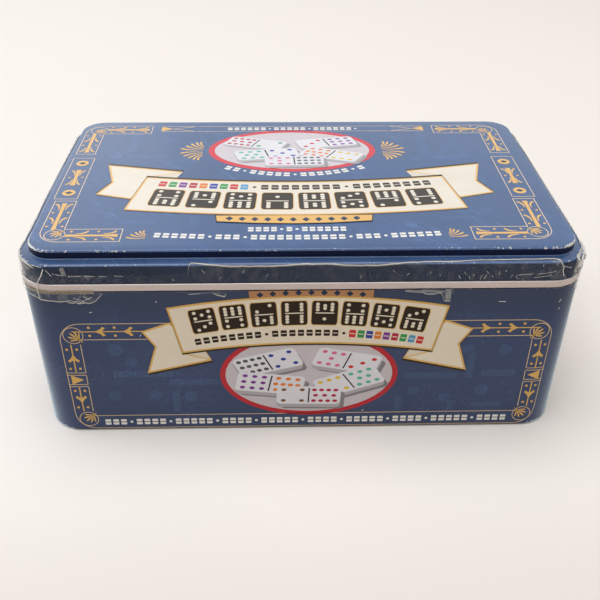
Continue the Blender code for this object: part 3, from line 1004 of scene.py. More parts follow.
def bow(corners, top, bottom, rise, drop, inks):
    """A ribbon's middle: a grid of strips, curved and rimmed with gold."""
    half_top, half_bottom = corners
    piece = begin("ribbon", bpy.ops.mesh.primitive_grid_add, x_subdivisions=32,
                  y_subdivisions=1, size=2)
    close()
    for vertex in piece.data.vertices:
        across, up = vertex.co.x, vertex.co.y > 0
        vertex.co.x = across * (half_top if up else half_bottom)
        vertex.co.y = (top + rise * across ** 2) if up else (bottom + drop * across ** 2)
    return rimmed(piece, 0.75, inks["gold"], inks["cream"])


def arch(middle, end, half):
    """A row's height and turn at x, on an arch or a hanging curve."""
    return lambda x: (middle + (end - middle) * (x / half) ** 2,
                      math.atan(2 * (end - middle) * x / half ** 2))


def straight(y):
    """A straight row's height and turn at x."""
    return lambda x: (y, 0.0)


def ribbon(draw, tail, rim, fold, crease, middle, shadow):
    """A ribbon: two folded tails behind a curved middle, each over its shadow."""
    inks = draw.inks
    left = rimmed(outline("tail", tail), rim, inks["gold"], inks["cream"])
    flap = outline("fold", fold)
    across, up, middle_up = shadow
    for side in (1, -1):
        draw.stamp(left, side * across, up, "shadow", side, 1, layer=RIBBON_LAYER)
        draw.stamp(left, 0, 0, None, side, 1, layer=RIBBON_LAYER + 1)
        draw.stamp(flap, 0, 0, "fold", side, 1, layer=RIBBON_LAYER + 2)
        start, end = ((side * x, y) for x, y in crease)
        draw.line(start, end, "gold", 0.5, RIBBON_LAYER + 3)
    main = bow(*middle, inks)
    draw.stamp(main, 0, middle_up, "shadow", layer=RIBBON_LAYER + 3)
    draw.stamp(main, 0, 0, layer=RIBBON_LAYER + 4)
    discard(left, flap, main)


def big_tile(draw, x, y, turn, wide, high, values):
    """A dark tile with a thin gold rim, a cream bar and cream pips, as one block of a title."""
    layer = RIBBON_LAYER + 5
    draw.stamp("tablet", x, y, "gold", wide / 2 + 0.28, high + 0.56, turn, layer)
    draw.stamp("tablet", x, y, "black", wide / 2, high, turn, layer + 1)
    draw.stamp("block", x, y, "cream", wide * 0.72, high * 0.045, turn, layer + 2)
    for half, value in zip((1, -1), values):
        for step, row in pip_places(value):
            at = spot(x, y, turn, row * wide * 0.28, half * high * 0.25 + step * high * 0.13)
            draw.stamp("dot", *at, "cream", wide * 0.15, layer=layer + 2)


def title_row(draw, start, pitch, gap, high, at, pairs):
    """A title of dark tiles along a ribbon, each with its two values."""
    for number, pair in enumerate(pairs):
        x = start + pitch / 2 + number * pitch
        big_tile(draw, x, *at(x), pitch - gap, high, pair)


def mark_row(draw, start, pitch, at, marks, bead, dark, bright, slit):
    """A row of small marks under a title: beads, black marks and coloured ones."""
    for number, mark in enumerate(marks):
        x = start + number * pitch
        y, turn = at(x)
        if mark == "bead":
            draw.stamp("dot", x, y, "black", bead, layer=RIBBON_LAYER + 5)
            continue
        wide, high, slit_high = dark if mark == "black" else bright
        draw.stamp("tablet", x, y, mark, wide, high, turn, RIBBON_LAYER + 5)
        draw.stamp("block", x, y, "cream", slit, slit_high, turn, RIBBON_LAYER + 6)


def diamond_row(draw, start, pitch, count, at, shift, wide, high):
    """A row of upright diamonds, set off sideways from their places on a curve."""
    for number in range(count):
        x = start + number * pitch
        draw.stamp("diamond", x + shift, at(x)[0], "navy", wide, high, layer=RIBBON_LAYER + 5)


def bead_row(draw, start, end, at, height, pitch, pattern="bbbdbbbbdbb"):
    """A row of small blank tiles with a dot for each d in a pattern, as a plain border."""
    count = round((end - start) / pitch)
    for number in range(count):
        x = start + (number + 0.5) * (end - start) / count
        y, turn = at(x)
        if pattern[number % len(pattern)] == "d":
            draw.stamp("dot", x, y, "pale", height * 0.42, layer=2)
        else:
            draw.stamp("tablet", x, y, "pale", pitch * 0.36, height, turn, 2)
            draw.stamp("block", x, y, "navy", pitch * 0.72, height * 0.13, turn, 3)


def picture_tile(inks, motifs, values, name):
    """The face of a small printed tile: white, with a bar and coloured pips."""
    face = Drawing(inks, motifs)
    face.stamp("tablet", 0, 0, "white", FACE, layer=0)
    face.stamp("block", 0, 0, "black", 0.5, 9.2, layer=1)
    for half, value in zip((-1, 1), values):
        for step, row in pip_places(value):
            face.stamp("dot", half * FACE / 2 + step * 3.5, row * 3.4, PIP_NAMES[value - 1],
                       1.75, layer=1)
    return face.joined(name)


def oval_picture(draw, x, y, half_x, half_y, tiles, ring):
    """A red-rimmed oval with a few tiles lying in it, seen a little aslant."""
    draw.stamp("disc", x, y, "red", half_x * 2, half_y * 2, layer=1)
    draw.stamp("disc", x, y, "picture", (half_x - ring) * 2, (half_y - ring) * 2, layer=2)
    level = 3
    for number, (dx, dy, turn, size, values) in enumerate(tiles):
        at = (x + dx * half_x, y + dy * half_y)
        turn = math.radians(turn)
        draw.stamp("tablet", at[0] + 1.6, at[1] - 2.6, "grey", FACE * size, None, turn, level,
                   ASLANT)
        for step, lift in ((1.8, 0.3), (1.2, 0.6), (0.6, 0.9)):
            draw.stamp("tablet", at[0], at[1] - step, "tile_side", FACE * size, None, turn,
                       level + lift, ASLANT)
        face = picture_tile(draw.inks, draw.motifs, values, f"face_{number}")
        draw.stamp(face, *at, None, size, None, turn, level + 1.2, ASLANT)
        discard(face)
        level += 2.6


def lay_on(piece, name, body, where, cuts=(), slot="printed_tin", depth=None):
    """Cut a flat drawing where it turns, and lay it on the tin as ink with a thickness."""
    size = bpy.context.scene.tin_sizes
    depth = size.ink_depth if depth is None else depth
    reopen(piece)
    for cut in cuts:
        bpy.ops.mesh.select_all(action='SELECT')
        bpy.ops.mesh.bisect(plane_co=(cut, 0, 0), plane_no=(1, 0, 0))
    close()
    modify(piece, 'SOLIDIFY', thickness=2 * TOP_LAYER, offset=-1, use_even_offset=False)
    for vertex in piece.data.vertices:
        x, y, layer = vertex.co
        vertex.co = where(x, y, (layer + 1) * size.ink_step if layer > -TOP_LAYER else -depth)
    piece.data.update()
    piece.name = piece.data.name = name
    smooth(piece)
    settle(piece, body, slot)


# Tiles in the ovals: place in shares of the oval's halves, turn in degrees, size and values
WALL_TILES = ((-0.46, 0.30, 20, 1.2, (12, 5)), (0.42, 0.32, -16, 1.2, (7, 3)),
              (-0.44, -0.20, -9, 1.25, (9, 10)), (0.45, -0.16, 26, 1.25, (6, 8)),
              (0.0, -0.50, -2, 1.2, (4, 11)))
LID_TILES = ((-0.44, 0.34, -20, 1.25, (11, 2)), (0.42, 0.36, 14, 1.25, (3, 9)),
             (-0.30, -0.20, 10, 1.3, (8, 5)), (0.46, -0.22, -24, 1.25, (10, 6)),
             (0.02, -0.52, 2, 1.2, (7, 12)))


def steps_down(start, stop, step):
    """Places from start down to stop, a step apart."""
    while start > stop:
        yield start
        start -= step


def wall_frame(draw, half, stop):
    """The border of one wall: bands with arrows and dots between rosettes."""
    top, upper, inner_top = 55.9, 52.0, 48.1
    low, inner_low = 0.9, 8.1
    rim, middle, inside = half, half - 3.9, half - 7.7
    round_centre = half - 5.4
    border = plate("border", half, (top - low) / 2, 8.5, 0, 10)
    face_up()
    rimmed(border, LINE, draw.inks["line"])
    draw.stamp(border, 0, (top + low) / 2)
    discard(border)
    for y in (inner_top, inner_low):
        draw.line((-inside, y), (inside, y))
    draw.line((-round_centre, upper), (round_centre, upper), "gold", 0.45)

    def dot_pair(x, y, across, up):
        for sign in (-1, 1):
            draw.stamp("dot", x + sign * across, y + sign * up, "gold", DOT, layer=2)

    for side in (-1, 1):
        rosette(draw, side * round_centre, 50.2, -side * math.radians(45))
        rosette(draw, side * round_centre, 6.3, -side * math.radians(135))
        for foot, head in ((31.4, 45.6), (10.8, 24.2)):
            draw.line((side * middle, foot), (side * middle, head), "gold", 0.5)
            draw.line((side * inside, foot), (side * inside, head))
        for y in (31.4, 30.2, 25.3, 24.2):
            draw.line((side * inside, y), (side * rim, y))
        draw.line((side * inside, 25.3), (side * inside, 30.2))
        draw.stamp("triangle", side * (middle + 0.75), 27.75, "gold", 5.6, 6.6,
                   side * QUARTER, 2)
        draw.stamp("arrow", side * middle, 41.0, "gold", layer=2)
        draw.stamp("arrow", side * middle, 15.0, "gold", turn=math.pi, layer=2)
        for y in (43.3, 33.6, 21.9, 12.9):
            dot_pair(side * middle, y, side * 1.95, 0)
        for place in steps_down(half - 14.8, stop, 10.7):
            draw.stamp("arrow", side * (place + 0.9), upper, "gold", turn=-side * QUARTER,
                       layer=2)
        for place in steps_down(half - 11.9, stop, 9.9):
            dot_pair(side * place, upper, 0, 1.95)


def ghost_marks(draw, places):
    """Faint bars and spots in the ground, round where their width and height agree."""
    for x, y, wide, high in places:
        draw.stamp("disc" if wide == high else "block", x, y, "ghost", wide, high, layer=0)


# Faint marks in the ground: place, width and height; and scratches: place and reach
WALL_GHOSTS = ((-76, 43, 6, 6), (-66, 30.5, 24, 3.4), (-79, 19, 5.5, 5.5), (-62, 19.5, 5, 5),
               (-70, 36.5, 5, 5), (-48, 18, 5.5, 5.5), (-54, 15.5, 3, 11), (-46, 26, 20, 3),
               (50, 28, 22, 3.2), (44, 20, 5, 5), (57, 16, 5, 5), (66, 33, 3, 13),
               (72, 20, 6, 6), (78, 29, 14, 3.4), (64, 41.5, 5, 5), (79, 41, 5.5, 5.5),
               (60, 11.8, 3, 5), (38, 13, 3, 8), (75, 12, 12, 2.6))
SCRATCHES = ((72.8, 64.6, 2.6, -0.1), (96.4, 63.6, 0.9, 1.1), (97.0, 60.2, 0.3, 0.6),
             (-57.8, 65.6, 0.4, 0.5), (-65.4, 49.6, 0.5, 0.7), (30.2, 64.0, 0.3, 1.1),
             (88.6, 46.2, 0.4, 0.8), (-83.2, 61.0, 0.8, 0.3), (23.2, 9.2, 0.5, 0.4))
LID_GHOSTS = ((-74, 36, 4, 22), (-66, 20, 18, 3.2), (-58, 38, 6, 6), (-80, 21, 6, 6),
              (-74, -34, 5, 5), (-62, -40, 15, 3), (60, 34, 4, 26), (73, 30, 6, 6),
              (68, 19, 20, 3.4), (54, 17, 5, 5), (76, -32, 5.5, 5.5), (64, -38, 16, 3),
              (44, -44, 5, 5), (-40, -41, 4, 11), (80, -6, 4, 14), (-50, 16, 5, 5))


# A word of dark marks, and the upright cuts that let the print turn the tin's corners
DARK_WORD = ["black"] * 8
CORNER_CUTS, CUT_STEP = 8, 0.8


def draw_wall_title(draw):
    """The front's ribbon with its title of eight dark tiles, and the oval under it."""
    oval_picture(draw, 0.65, 29.2, 36.05, 22.0, WALL_TILES, 2.2)
    tail = [(-53.4, 56.2), (-64.7, 51.9), (-60.1, 44.5), (-64.3, 31.0), (-38.2, 37.3),
            (-40.5, 42.4)]
    ribbon(draw, tail, 0.75, fold=[(-49.6, 41.4), (-40.6, 42.2), (-38.8, 38.0)],
           crease=((-49.3, 41.0), (-38.6, 37.7)), shadow=(0.3, -0.9, -0.8),
           middle=((54.1, 49.6), 68.0, 45.4, -5.0, -4.3))
    strip = outline("strip", [(-23.4, 66.4), (-12, 67.3), (0, 67.6), (12, 67.3), (23.4, 66.4),
                              (23.6, 70.4), (-23.6, 70.4)])
    draw.stamp(strip, 1.0, 0, "strip", layer=RIBBON_LAYER + 3)
    discard(strip)
    diamond_row(draw, -18.4, 4.85, 9, arch(69.6, 68.4, 22), 0, 2.7, 2.5)
    title_row(draw, -46.2, 11.65, 1.7, 11.2, arch(60.2, 55.8, 46.5),
              ((5, 3), (9, 4), (2, 7), (6, 6), (8, 1), (4, 9), (7, 5), (3, 8)))
    tones = "scarlet green blue orange purple crimson green sky scarlet".split()
    mark_row(draw, -43, 3.35, arch(50.7, 46.6, 44),
             DARK_WORD + ["bead"] + DARK_WORD + ["bead"] + tones,
             bead=1.3, dark=(1.2, 3.0, 0.35), bright=(1.3, 3.6, 0.4), slit=1.9)


def draw_side_title(draw):
    """The short side's picture: an oval between two palmettes."""
    oval_picture(draw, 0, 28.2, 25, 15.6, ((-0.1, 0.1, 14, 1.1, (10, 4)),), 2.0)
    for side in (-1, 1):
        fan(draw, side * 29.5, 28.2, -side * QUARTER, 9.6, layer=3)


def make_wall_print():
    """The print on the four sides of the wall."""
    inks = named_inks("wall")
    motifs = make_motifs(inks)
    size = bpy.context.scene.tin_sizes
    flat_x = (HALF_WIDTH - size.corner_radius) / MM
    flat_y = (HALF_DEPTH - size.corner_radius) / MM
    for side, name in enumerate(("front_print", "right_print", "back_print", "left_print")):
        draw = Drawing(inks, motifs)
        long_side = side % 2 == 0
        half, flat = (96.6, flat_x) if long_side else (56.6, flat_y)
        shift = 1.6 if side == 0 else 0.0
        wall_frame(draw, half, 66 if long_side else 24)
        bead_row(draw, -half + 11.5, half - 11.5, straight(4.4), 3.0, 3.3)
        if long_side:
            ghost_marks(draw, WALL_GHOSTS)
            for x, y, across, up in SCRATCHES:
                draw.line((x, y), (x + across, y + up), "pale", 0.22)
            draw_wall_title(draw)
        else:
            draw_side_title(draw)
        cuts = [sign * (flat + step * CUT_STEP) - shift for sign in (-1, 1)
                for step in range(CORNER_CUTS)]

        def round_wall(x, y, lift, start=side_way(side) + shift * MM):
            return rim_point(start + x * MM, WALL_SETBACK - lift, y * MM)

        lay_on(draw.joined(name), name, "root", round_wall, cuts)
    discard(*motifs.values())


def draw_lid_border(draw):
    """Corner brackets, boxes at the ends, and a long strip at the back."""
    bracket = outline("bracket", [(25.4, -5.5), (25.4, 4.3), (3.1, 4.3), (3.1, 27.4),
                                  (-5.9, 27.4), (-5.9, -5.5)])
    reopen(bracket)
    pick('VERT', lambda at: at.x < -5 and at.y < -5)
    bpy.ops.mesh.bevel(offset=8.0, segments=8, affect='VERTICES')
    close()
    rimmed(bracket, 0.34, draw.inks["line"])
    for side in (-1, 1):
        for end in (-1, 1):
            x, y = side * (92.65 + end * 0.55), -49.4 if end < 0 else 50.4
            draw.stamp(bracket, x, y, None, -side, -end)
            rosette(draw, x, y, math.atan2(-side, end))
            arm(draw, x + side * 1.4, y, 0 if end < 0 else math.pi, 27.1)
            arm(draw, x, y + end * 0.7, side * QUARTER, 25.4)
        frame_box(draw, side * 94.2, -0.6, 9.4, 39.4)
        for end in (-1, 1):
            draw.stamp("eye", side * 94.0, -0.6 + end * 14.2, "gold", layer=2)
            draw.stamp("diamond", side * 94.0, -0.6 + end * 14.2, "navy", 3.4, 2.6, layer=3)
            for sign in (-1, 1):
                draw.stamp("plume", side * 94.0 + sign * 1.15, -0.6 + end * 1.8, "gold",
                           sign * 0.95, end, layer=2)
        draw.stamp("waist", side * 94.0, -0.6, "gold", layer=2)
        for sign in (-1, 1):
            draw.stamp("dot", side * 94.0 + sign * 2.7, -0.6, "gold", 1.1, layer=2)
        fan(draw, side * 41.05 - 0.55, 26.4, -side * QUARTER, 10.7)
        fan(draw, side * 57.6, -53.4, -side * QUARTER, 7.4, (side,))
        draw.stamp("triangle", side * 61.6, 52.0, "gold", 6.0, 7.4, side * QUARTER, 2)
        draw.line((side * 58.2, 52.0), (side * 46.5, 55.0))
        draw.line((side * 58.2, 52.0), (side * 46.5, 49.0))
    for y in (49.0, 55.0):
        draw.line((-63.0, y), (63.0, y))
    discard(bracket)


def draw_lid_title(draw):
    """The lid's oval and ribbon, which read from the back of the tin."""
    oval_picture(draw, -0.85, 27.1, 38.35, 22.9, LID_TILES, 2.8)
    tail = [(-77.8, -5.8), (-82.6, -16.7), (-67.9, -21.0), (-52.0, -5.4), (-48.6, 4.1),
            (-82.1, 11.2)]
    ribbon(draw, tail, 0.8, fold=[(-48.6, 4.1), (-63.7, -1.1), (-52.0, -5.4)],
           crease=((-49.0, 3.8), (-63.7, -1.1)), shadow=(0, 1.4, 1.4),
           middle=((63.7, 69.0), -6.3, -35.3, 5.2, 5.1))
    title_row(draw, -60.6, 15.1, 2.3, 14.4, arch(-23.6, -18.9, 62),
              ((4, 8), (7, 2), (5, 9), (1, 6), (8, 8), (3, 5), (9, 2), (6, 4)))
    tones = "scarlet green purple crimson orange blue green scarlet sky".split()
    mark_row(draw, -56, 4.3, arch(-11.4, -7.3, 58),
             tones + ["bead"] + DARK_WORD + ["bead"] + DARK_WORD,
             bead=1.6, dark=(1.5, 4.2, 0.45), bright=(1.6, 4.6, 0.5), slit=2.4)
    strip = outline("strip", [(31.3, -35.2), (30.6, -40.4), (15, -41.9), (0, -42.4),
                              (-15, -41.9), (-30.6, -40.4), (-31.3, -35.2)])
    rimmed(strip, 0.4, draw.inks["shadow"], draw.inks["strip"])
    draw.stamp(strip, -1.1, 0, layer=RIBBON_LAYER + 3)
    discard(strip)
    diamond_row(draw, -26, 5, 11, arch(-39.0, -37.6, 30), -0.6, 3.0, 3.4)
    bead_row(draw, -19.5, 19.0, straight(-46.2), 3.2, 3.0, "bbbbdbdbb")
    bead_row(draw, -55, 55, arch(-52.4, -49.9, 56), 3.3, 3.3, "bbbbbbdbbbdbbbbb")
    bead_row(draw, -31, 31, arch(1.4, 9.2, 31), 3.4, 3.7, "bbdbbbbbdbbbb")
    bead_row(draw, -32, 32, straight(52.0), 3.0, 3.2, "bbbbbbdbbbbbd")


def make_lid_print():
    """The print on the lid's raised panel."""
    inks = named_inks("lid")
    motifs = make_motifs(inks)
    draw = Drawing(inks, motifs)
    ghost_marks(draw, LID_GHOSTS)
    draw_lid_border(draw)
    draw_lid_title(draw)

    def on_panel(x, y, lift):
        return Vector(((x - 2.2) * MM, y * MM, TIN_TOP + lift))

    lay_on(draw.joined("lid_print"), "lid_print", "lid", on_panel)
    discard(*motifs.values())


# Contents

def set_down(piece, low, high, height):
    """Move a piece from its own origin to the middle of a box, at a height."""
    piece.data.transform(Matrix.Translation(((low.x + high.x) / 2, (low.y + high.y) / 2,
                                             height)))


def make_blank(long, wide, thick):
    """A plain tile with rounded corners and edges, on its own origin."""
    size = bpy.context.scene.tile_sizes
    bevel = size.bevel
    blank = plate("blank", long / 2, wide / 2, size.corner_radius, bevel, 5)
    raise_faces(thick - 2 * bevel)
    face_outwards()
    pick('FACE', lambda at, normal: normal.z > 0.9)
    press(arc(bevel, thick - bevel, bevel, 2, 1, 3))
    pick('FACE', lambda at, normal: normal.z < -0.9)
    press(arc(bevel, bevel, bevel, 2, 3, 3))
    close()
    blank.data.materials.append(plastic("ivory_plastic", bpy.context.scene.tin_colours.ivory))
    return blank


def make_pip_cutters(wide, thick):
    """The cutters for one half's pips, by value, and for the bar between the halves."""
    size = bpy.context.scene.tile_sizes
    dish = begin("dish", bpy.ops.mesh.primitive_uv_sphere_add, segments=14, ring_count=7,
                 radius=1)
    bpy.ops.transform.resize(value=(size.pip_radius, size.pip_radius, size.pip_depth))
    close()
    cutters = {}
    for value in range(1, TOP_VALUE + 1):
        dishes = [copy_of(dish, Matrix.Translation((step * size.pip_reach, row * size.pip_reach,
                                                    thick)))
                  for step, row in pip_places(value)]
        cutters[value] = join(dishes, f"dishes_{value}")
        cutters[value].data.materials.clear()
        name = PIP_NAMES[value - 1]
        cutters[value].data.materials.append(plastic(name + "_pip", PIP_COLOURS[name], 0.30))
    bar = begin("bar", bpy.ops.mesh.primitive_cube_add, size=1, location=(0, 0, thick))
    bpy.ops.transform.resize(value=(size.bar_width, wide * 0.84, size.pip_depth),
                             center_override=(0, 0, thick))
    close()
    bar.data.materials.append(plastic("bar_paint", (0.02, 0.02, 0.022), 0.35))
    cutters["bar"] = bar
    discard(dish)
    return cutters


def cut_tile(blank, cutters, values, long, name):
    """One tile: the blank with its bar and the pips of both halves."""
    tile = copy_of(blank, Matrix.Identity(4), name)
    tools = [copy_of(cutters["bar"], Matrix.Identity(4))]
    for half, value in zip((-1, 1), values):
        if value:
            middle = Matrix.Translation((half * long / 4, 0, 0))
            turn = Matrix.Rotation(math.pi if half > 0 else 0, 4, 'Z')
            tools.append(copy_of(cutters[value], middle @ turn))
    tool = join(tools, "tool")
    modify(tile, 'BOOLEAN', operation='DIFFERENCE', solver='EXACT', object=tool,
           material_mode='TRANSFER')
    discard(tool)
    return tile


def make_tiles():
    """The ninety-one tiles of a double-twelve set, each in its place in the block."""
    size = bpy.context.scene.tile_sizes
    low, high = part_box("tile_fifth_layer_01")
    long, wide, thick = high - low
    blank = make_blank(long, wide, thick)
    cutters = make_pip_cutters(wide, thick)
    values = [(a, b) for a in range(TOP_VALUE + 1) for b in range(a, TOP_VALUE + 1)]
    order = iter([values[number * 37 % len(values)] for number in range(len(values))])
    for node in sorted(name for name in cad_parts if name.startswith("tile_")):
        low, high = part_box(node)
        tiles = []
        for level in range(round((high.z - low.z) / thick)):
            pair = next(order)
            if (level + len(node) + int(low.x * 1000)) % 2:
                pair = pair[::-1]
            tile = cut_tile(blank, cutters, pair, long, "tile")
            set_down(tile, low, high, low.z + level * thick)
            tiles.append(tile)
        piece = join(tiles, node.replace("tile_", "set_"))
        smooth(piece)
        settle(piece, "root", "tile_plastic", node)
    discard(blank, *cutters.values())


def box_cutter(centre, lengths, turn=0.0):
    """An upright box for cutting, turned about Z."""
    cutter = begin("box_cutter", bpy.ops.mesh.primitive_cube_add, size=1)
    bpy.ops.transform.resize(value=lengths)
    bpy.ops.transform.translate(value=centre)
    close()
    cutter.data.transform(Matrix.Rotation(turn, 4, 'Z'))
    return cutter


def make_starter():
    """The octagonal hub, with a pocket for the first tile and a notch on each side."""
    low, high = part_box("starter_piece")
    tile_low, tile_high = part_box("tile_fifth_layer_01")
    long, wide, _ = tile_high - tile_low
    apothem, thick = (high.x - low.x) / 2, high.z - low.z
    notch, pocket, floor, play = 0.0040, 0.0035, 0.0030, 0.0003
    hub = begin("starter_hub", bpy.ops.mesh.primitive_cylinder_add, vertices=8,
                radius=apothem / math.cos(math.pi / 8), depth=thick,
                location=(0, 0, thick / 2), rotation=(0, 0, math.pi / 8))
    close()
    over = thick + 0.001
    tools = [box_cutter((apothem - notch / 2 + 0.0005, 0, (floor + over) / 2),
                        (notch + 0.001, wide + 2 * play, over - floor), side * math.tau / 8)
             for side in range(8)]
    tools.append(box_cutter((0, 0, (thick - pocket + over) / 2),
                            (long + 2 * play, wide + 2 * play, over - thick + pocket)))
    tool = join(tools, "hub_tool")
    modify(hub, 'BOOLEAN', operation='DIFFERENCE', solver='EXACT', object=tool)
    discard(tool)
    modify(hub, 'BEVEL', width=0.00045, segments=3, limit_method='ANGLE')
    set_down(hub, low, high, low.z)
    smooth(hub)
    paint(hub, (plastic("hub_plastic", bpy.context.scene.tin_colours.hub_red, 0.36), None))
    settle(hub, "root", "starter_plastic", "starter_piece")


def make_booklet():
    """The booklet: folded pages in a cover, with two staples through the spine."""
    tones = bpy.context.scene.tin_colours
    low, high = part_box("rules_booklet")
    thick, half_x, half_y = high.z - low.z, (high.x - low.x) / 2, (high.y - low.y) / 2
    radius = thick / 2 - 0.0001
    fold = []
    for step in range(11):
        share = step / 10
        lift = 0.00018 * math.sin(share * math.pi)
        fold.append((half_x - share * (2 * half_x - radius), radius - lift))
    fold += [(-half_x + radius - radius * math.sin(turn), radius * math.cos(turn))
             for turn in [step * math.pi / 6 for step in range(1, 6)]]
    fold += [(x, -y) for x, y in reversed(fold[:11])]
    leaves = []
    for number, (trim, name) in enumerate(((0.0, "cover"), (0.0009, "pages_1"),
                                           (0.0014, "pages_2"), (0.0020, "pages_3"))):
        shrink = 1 - number * 0.24
        leaf = begin(name, bpy.ops.mesh.primitive_plane_add, size=1)
        bpy.ops.mesh.merge(type='CENTER')
        start = (min(fold[0][0], half_x - trim), -half_y + trim * 0.2, fold[0][1] * shrink)
        bpy.ops.transform.translate(value=start)
        bpy.ops.mesh.extrude_vertices_move(
            TRANSFORM_OT_translate={"value": (0, 2 * half_y - trim * 0.4, 0)})
        bpy.ops.mesh.select_all(action='SELECT')
        for here, there in zip(fold, fold[1:]):
            first, second = (Vector((min(x, half_x - trim), y * shrink)) for x, y in (here, there))
            step = second - first
            bpy.ops.mesh.extrude_edges_move(
                TRANSFORM_OT_translate={"value": (step.x, 0, step.y)})
        bpy.ops.mesh.select_all(action='SELECT')
        bpy.ops.mesh.remove_doubles(threshold=0.00001)
        face_outwards()
        close()
        modify(leaf, 'SOLIDIFY', thickness=0.00009, offset=0)
        sheet = paper("cover_paper", shade(tones.paper, 0.96)) if number == 0 else paper(
            "page_paper", tones.paper)
        paint(leaf, (sheet, None))
        leaves.append(leaf)
    for side in (-1, 1):
        staple = begin("staple", bpy.ops.mesh.primitive_cube_add, size=1)
        bpy.ops.transform.resize(value=(0.0005, 0.011, 0.0004))
        bpy.ops.transform.translate(value=(-half_x - 0.00002, side * half_y * 0.5, 0))
        close()
        modify(staple, 'BEVEL', width=0.00018, segments=3, limit_method='ANGLE')
        paint(staple, (bare_tin("staple_wire", (0.62, 0.61, 0.60), 0.22), None))
        leaves.append(staple)
    booklet = join(leaves, "booklet")
    set_down(booklet, low, high, (low.z + high.z) / 2)
    smooth(booklet)
    settle(booklet, "root", "booklet_paper", "rules_booklet")


# Film

# The film's mesh and thickness, its places over the hem, on the skirt and round the shoulder
FILM_COLUMNS, FILM_ROWS, FILM_THICK = 1100, 24, 0.00004
FILM_OVER_HEM, FILM_ON_SKIRT, FILM_ROUND = -0.00028, 0.00018, 0.00027

# Way round the outline from the middle of the front, how far the film reaches below and above
# the hem's foot, all in millimetres, and how crumpled it is
FILM_EDGES = ((-335, -0.6, 12.0, 0.03), (-300, -0.8, 11.5, 0.02), (-260, -0.5, 12.6, 0.04),
              (-240, -2.0, 12.6, 0.28), (-222, -2.6, 12.8, 0.32), (-208, -0.8, 12.4, 0.06),
              (-170, -0.6, 11.2, 0.02), (-140, -0.9, 12.3, 0.03), (-122, -1.9, 12.2, 0.20),
              (-112, -2.7, 12.0, 0.30), (-104, -3.2, 11.4, 0.16), (-100, -3.5, 10.2, 0.07),
              (-96, -3.9, 7.8, 0.04), (-90, -4.6, 7.4, 0.03), (-86, -5.0, 7.3, 0.04),
              (-83, -5.1, 7.3, 0.06), (-80.5, -4.9, 7.2, 0.08), (-78.3, -4.1, 7.2, 0.06),
              (-76.6, -2.5, 7.2, 0.04), (-75.6, -0.9, 7.2, 0.03), (-72, -0.3, 7.2, 0.03),
              (-55, -0.2, 7.0, 0.02), (-44, -0.8, 7.4, 0.02), (-43, -1.5, 7.6, 0.02),
              (-42.4, -1.5, 12.4, 0.02), (-40, -1.3, 12.2, 0.02), (-35, -0.9, 11.6, 0.02),
              (-31.5, -2.4, 11.2, 0.03), (-30, -2.9, 11.0, 0.03), (-29, -0.2, 10.9, 0.02),
              (-20, -0.2, 10.8, 0.02), (-7, -0.2, 11.1, 0.02), (0, -0.2, 11.6, 0.02),
              (8, -0.2, 11.4, 0.02), (15, -0.2, 10.8, 0.02), (27, -0.2, 10.8, 0.02),
              (37, -0.3, 11.6, 0.02), (44, -1.2, 11.9, 0.02), (46, -2.4, 12.0, 0.02),
              (52, -1.9, 12.1, 0.02), (53, -5.4, 12.1, 0.02), (55.4, -5.8, 12.2, 0.02),
              (56.1, -0.2, 12.2, 0.02), (65, -0.2, 12.8, 0.03), (80, -0.2, 13.0, 0.02),
              (93, -0.3, 13.2, 0.05), (95.5, -0.3, 12.0, 0.15), (97, -0.3, 7.0, 0.2),
              (98.5, -0.3, 3.6, 0.12), (101.2, -0.4, 3.4, 0.3), (102.6, -0.4, 11.5, 0.7),
              (104.3, -0.6, 12.6, 0.8), (105.0, -3.4, 12.8, 0.8), (106.2, -3.7, 13.0, 0.8),
              (107.0, -0.8, 13.0, 0.8), (112, -0.6, 12.8, 0.7), (118, -0.6, 12.4, 0.3),
              (124, -0.5, 12.0, 0.05), (160, -0.6, 11.4, 0.02), (205, -0.5, 12.2, 0.04),
              (222, -2.2, 12.6, 0.28), (238, -2.4, 12.4, 0.25), (250, -0.6, 12.0, 0.04),
              (300, -0.8, 11.2, 0.02), (338, -0.6, 12.0, 0.03))

# Creases in the film, partly painted highlights of its folds: their width and their points, by way
# and height over the hem's foot; and nicks: their way, height and length
CREASE_GLINTS = ((0.40, (-95.7, 10.0), (-97.0, 7.0), (-98.6, 4.4), (-99.7, 2.4), (-99.3, -2.8)),
           (0.20, (-94.8, 9.6), (-93.9, 8.2), (-93.2, 7.0)), (0.24, (-92.6, 8.0), (-89.0, 7.1)),
           (0.16, (-87.0, 6.8), (-82.5, 6.9)), (0.16, (-81.0, 6.9), (-77.5, 6.7)),
           (0.14, (-75.5, 6.8), (-73.0, 6.6)), (0.14, (-70.0, 6.9), (-67.0, 6.6)),
           (0.36, (94.2, 13.0), (95.4, 12.0), (95.7, 10.4), (96.6, 8.9), (96.4, 7.6), (97.3, 5.2)),
           (0.16, (93.8, 7.3), (90.5, 6.6), (87.0, 6.2)), (0.14, (92.6, 5.6), (86.0, 4.7)),
           (0.16, (85.4, 6.3), (79.0, 5.8)), (0.2, (96.4, 9.6), (98.5, 8.6), (100.0, 8.2)),
           (0.3, (-106.5, 9.8), (-107.3, 3.4)),
           (0.26, (-113.0, 10.8), (-108.0, 10.7), (-104.0, 10.7), (-100.0, 10.8), (-96.4, 10.7)),
           (0.35, (-110.4, 10.4), (-110.0, 1.0)), (0.2, (-88.9, -3.6), (-82.5, -4.6)),
           (0.25, (-86.4, -2.8), (-83.0, -4.0), (-79.6, -2.2)),
           (0.25, (-84.8, -5.0), (-81.6, -3.2)),
           (0.2, (-82.8, -1.8), (-80.2, -3.6)), (0.2, (57.5, 5.8), (58.2, 4.6)))
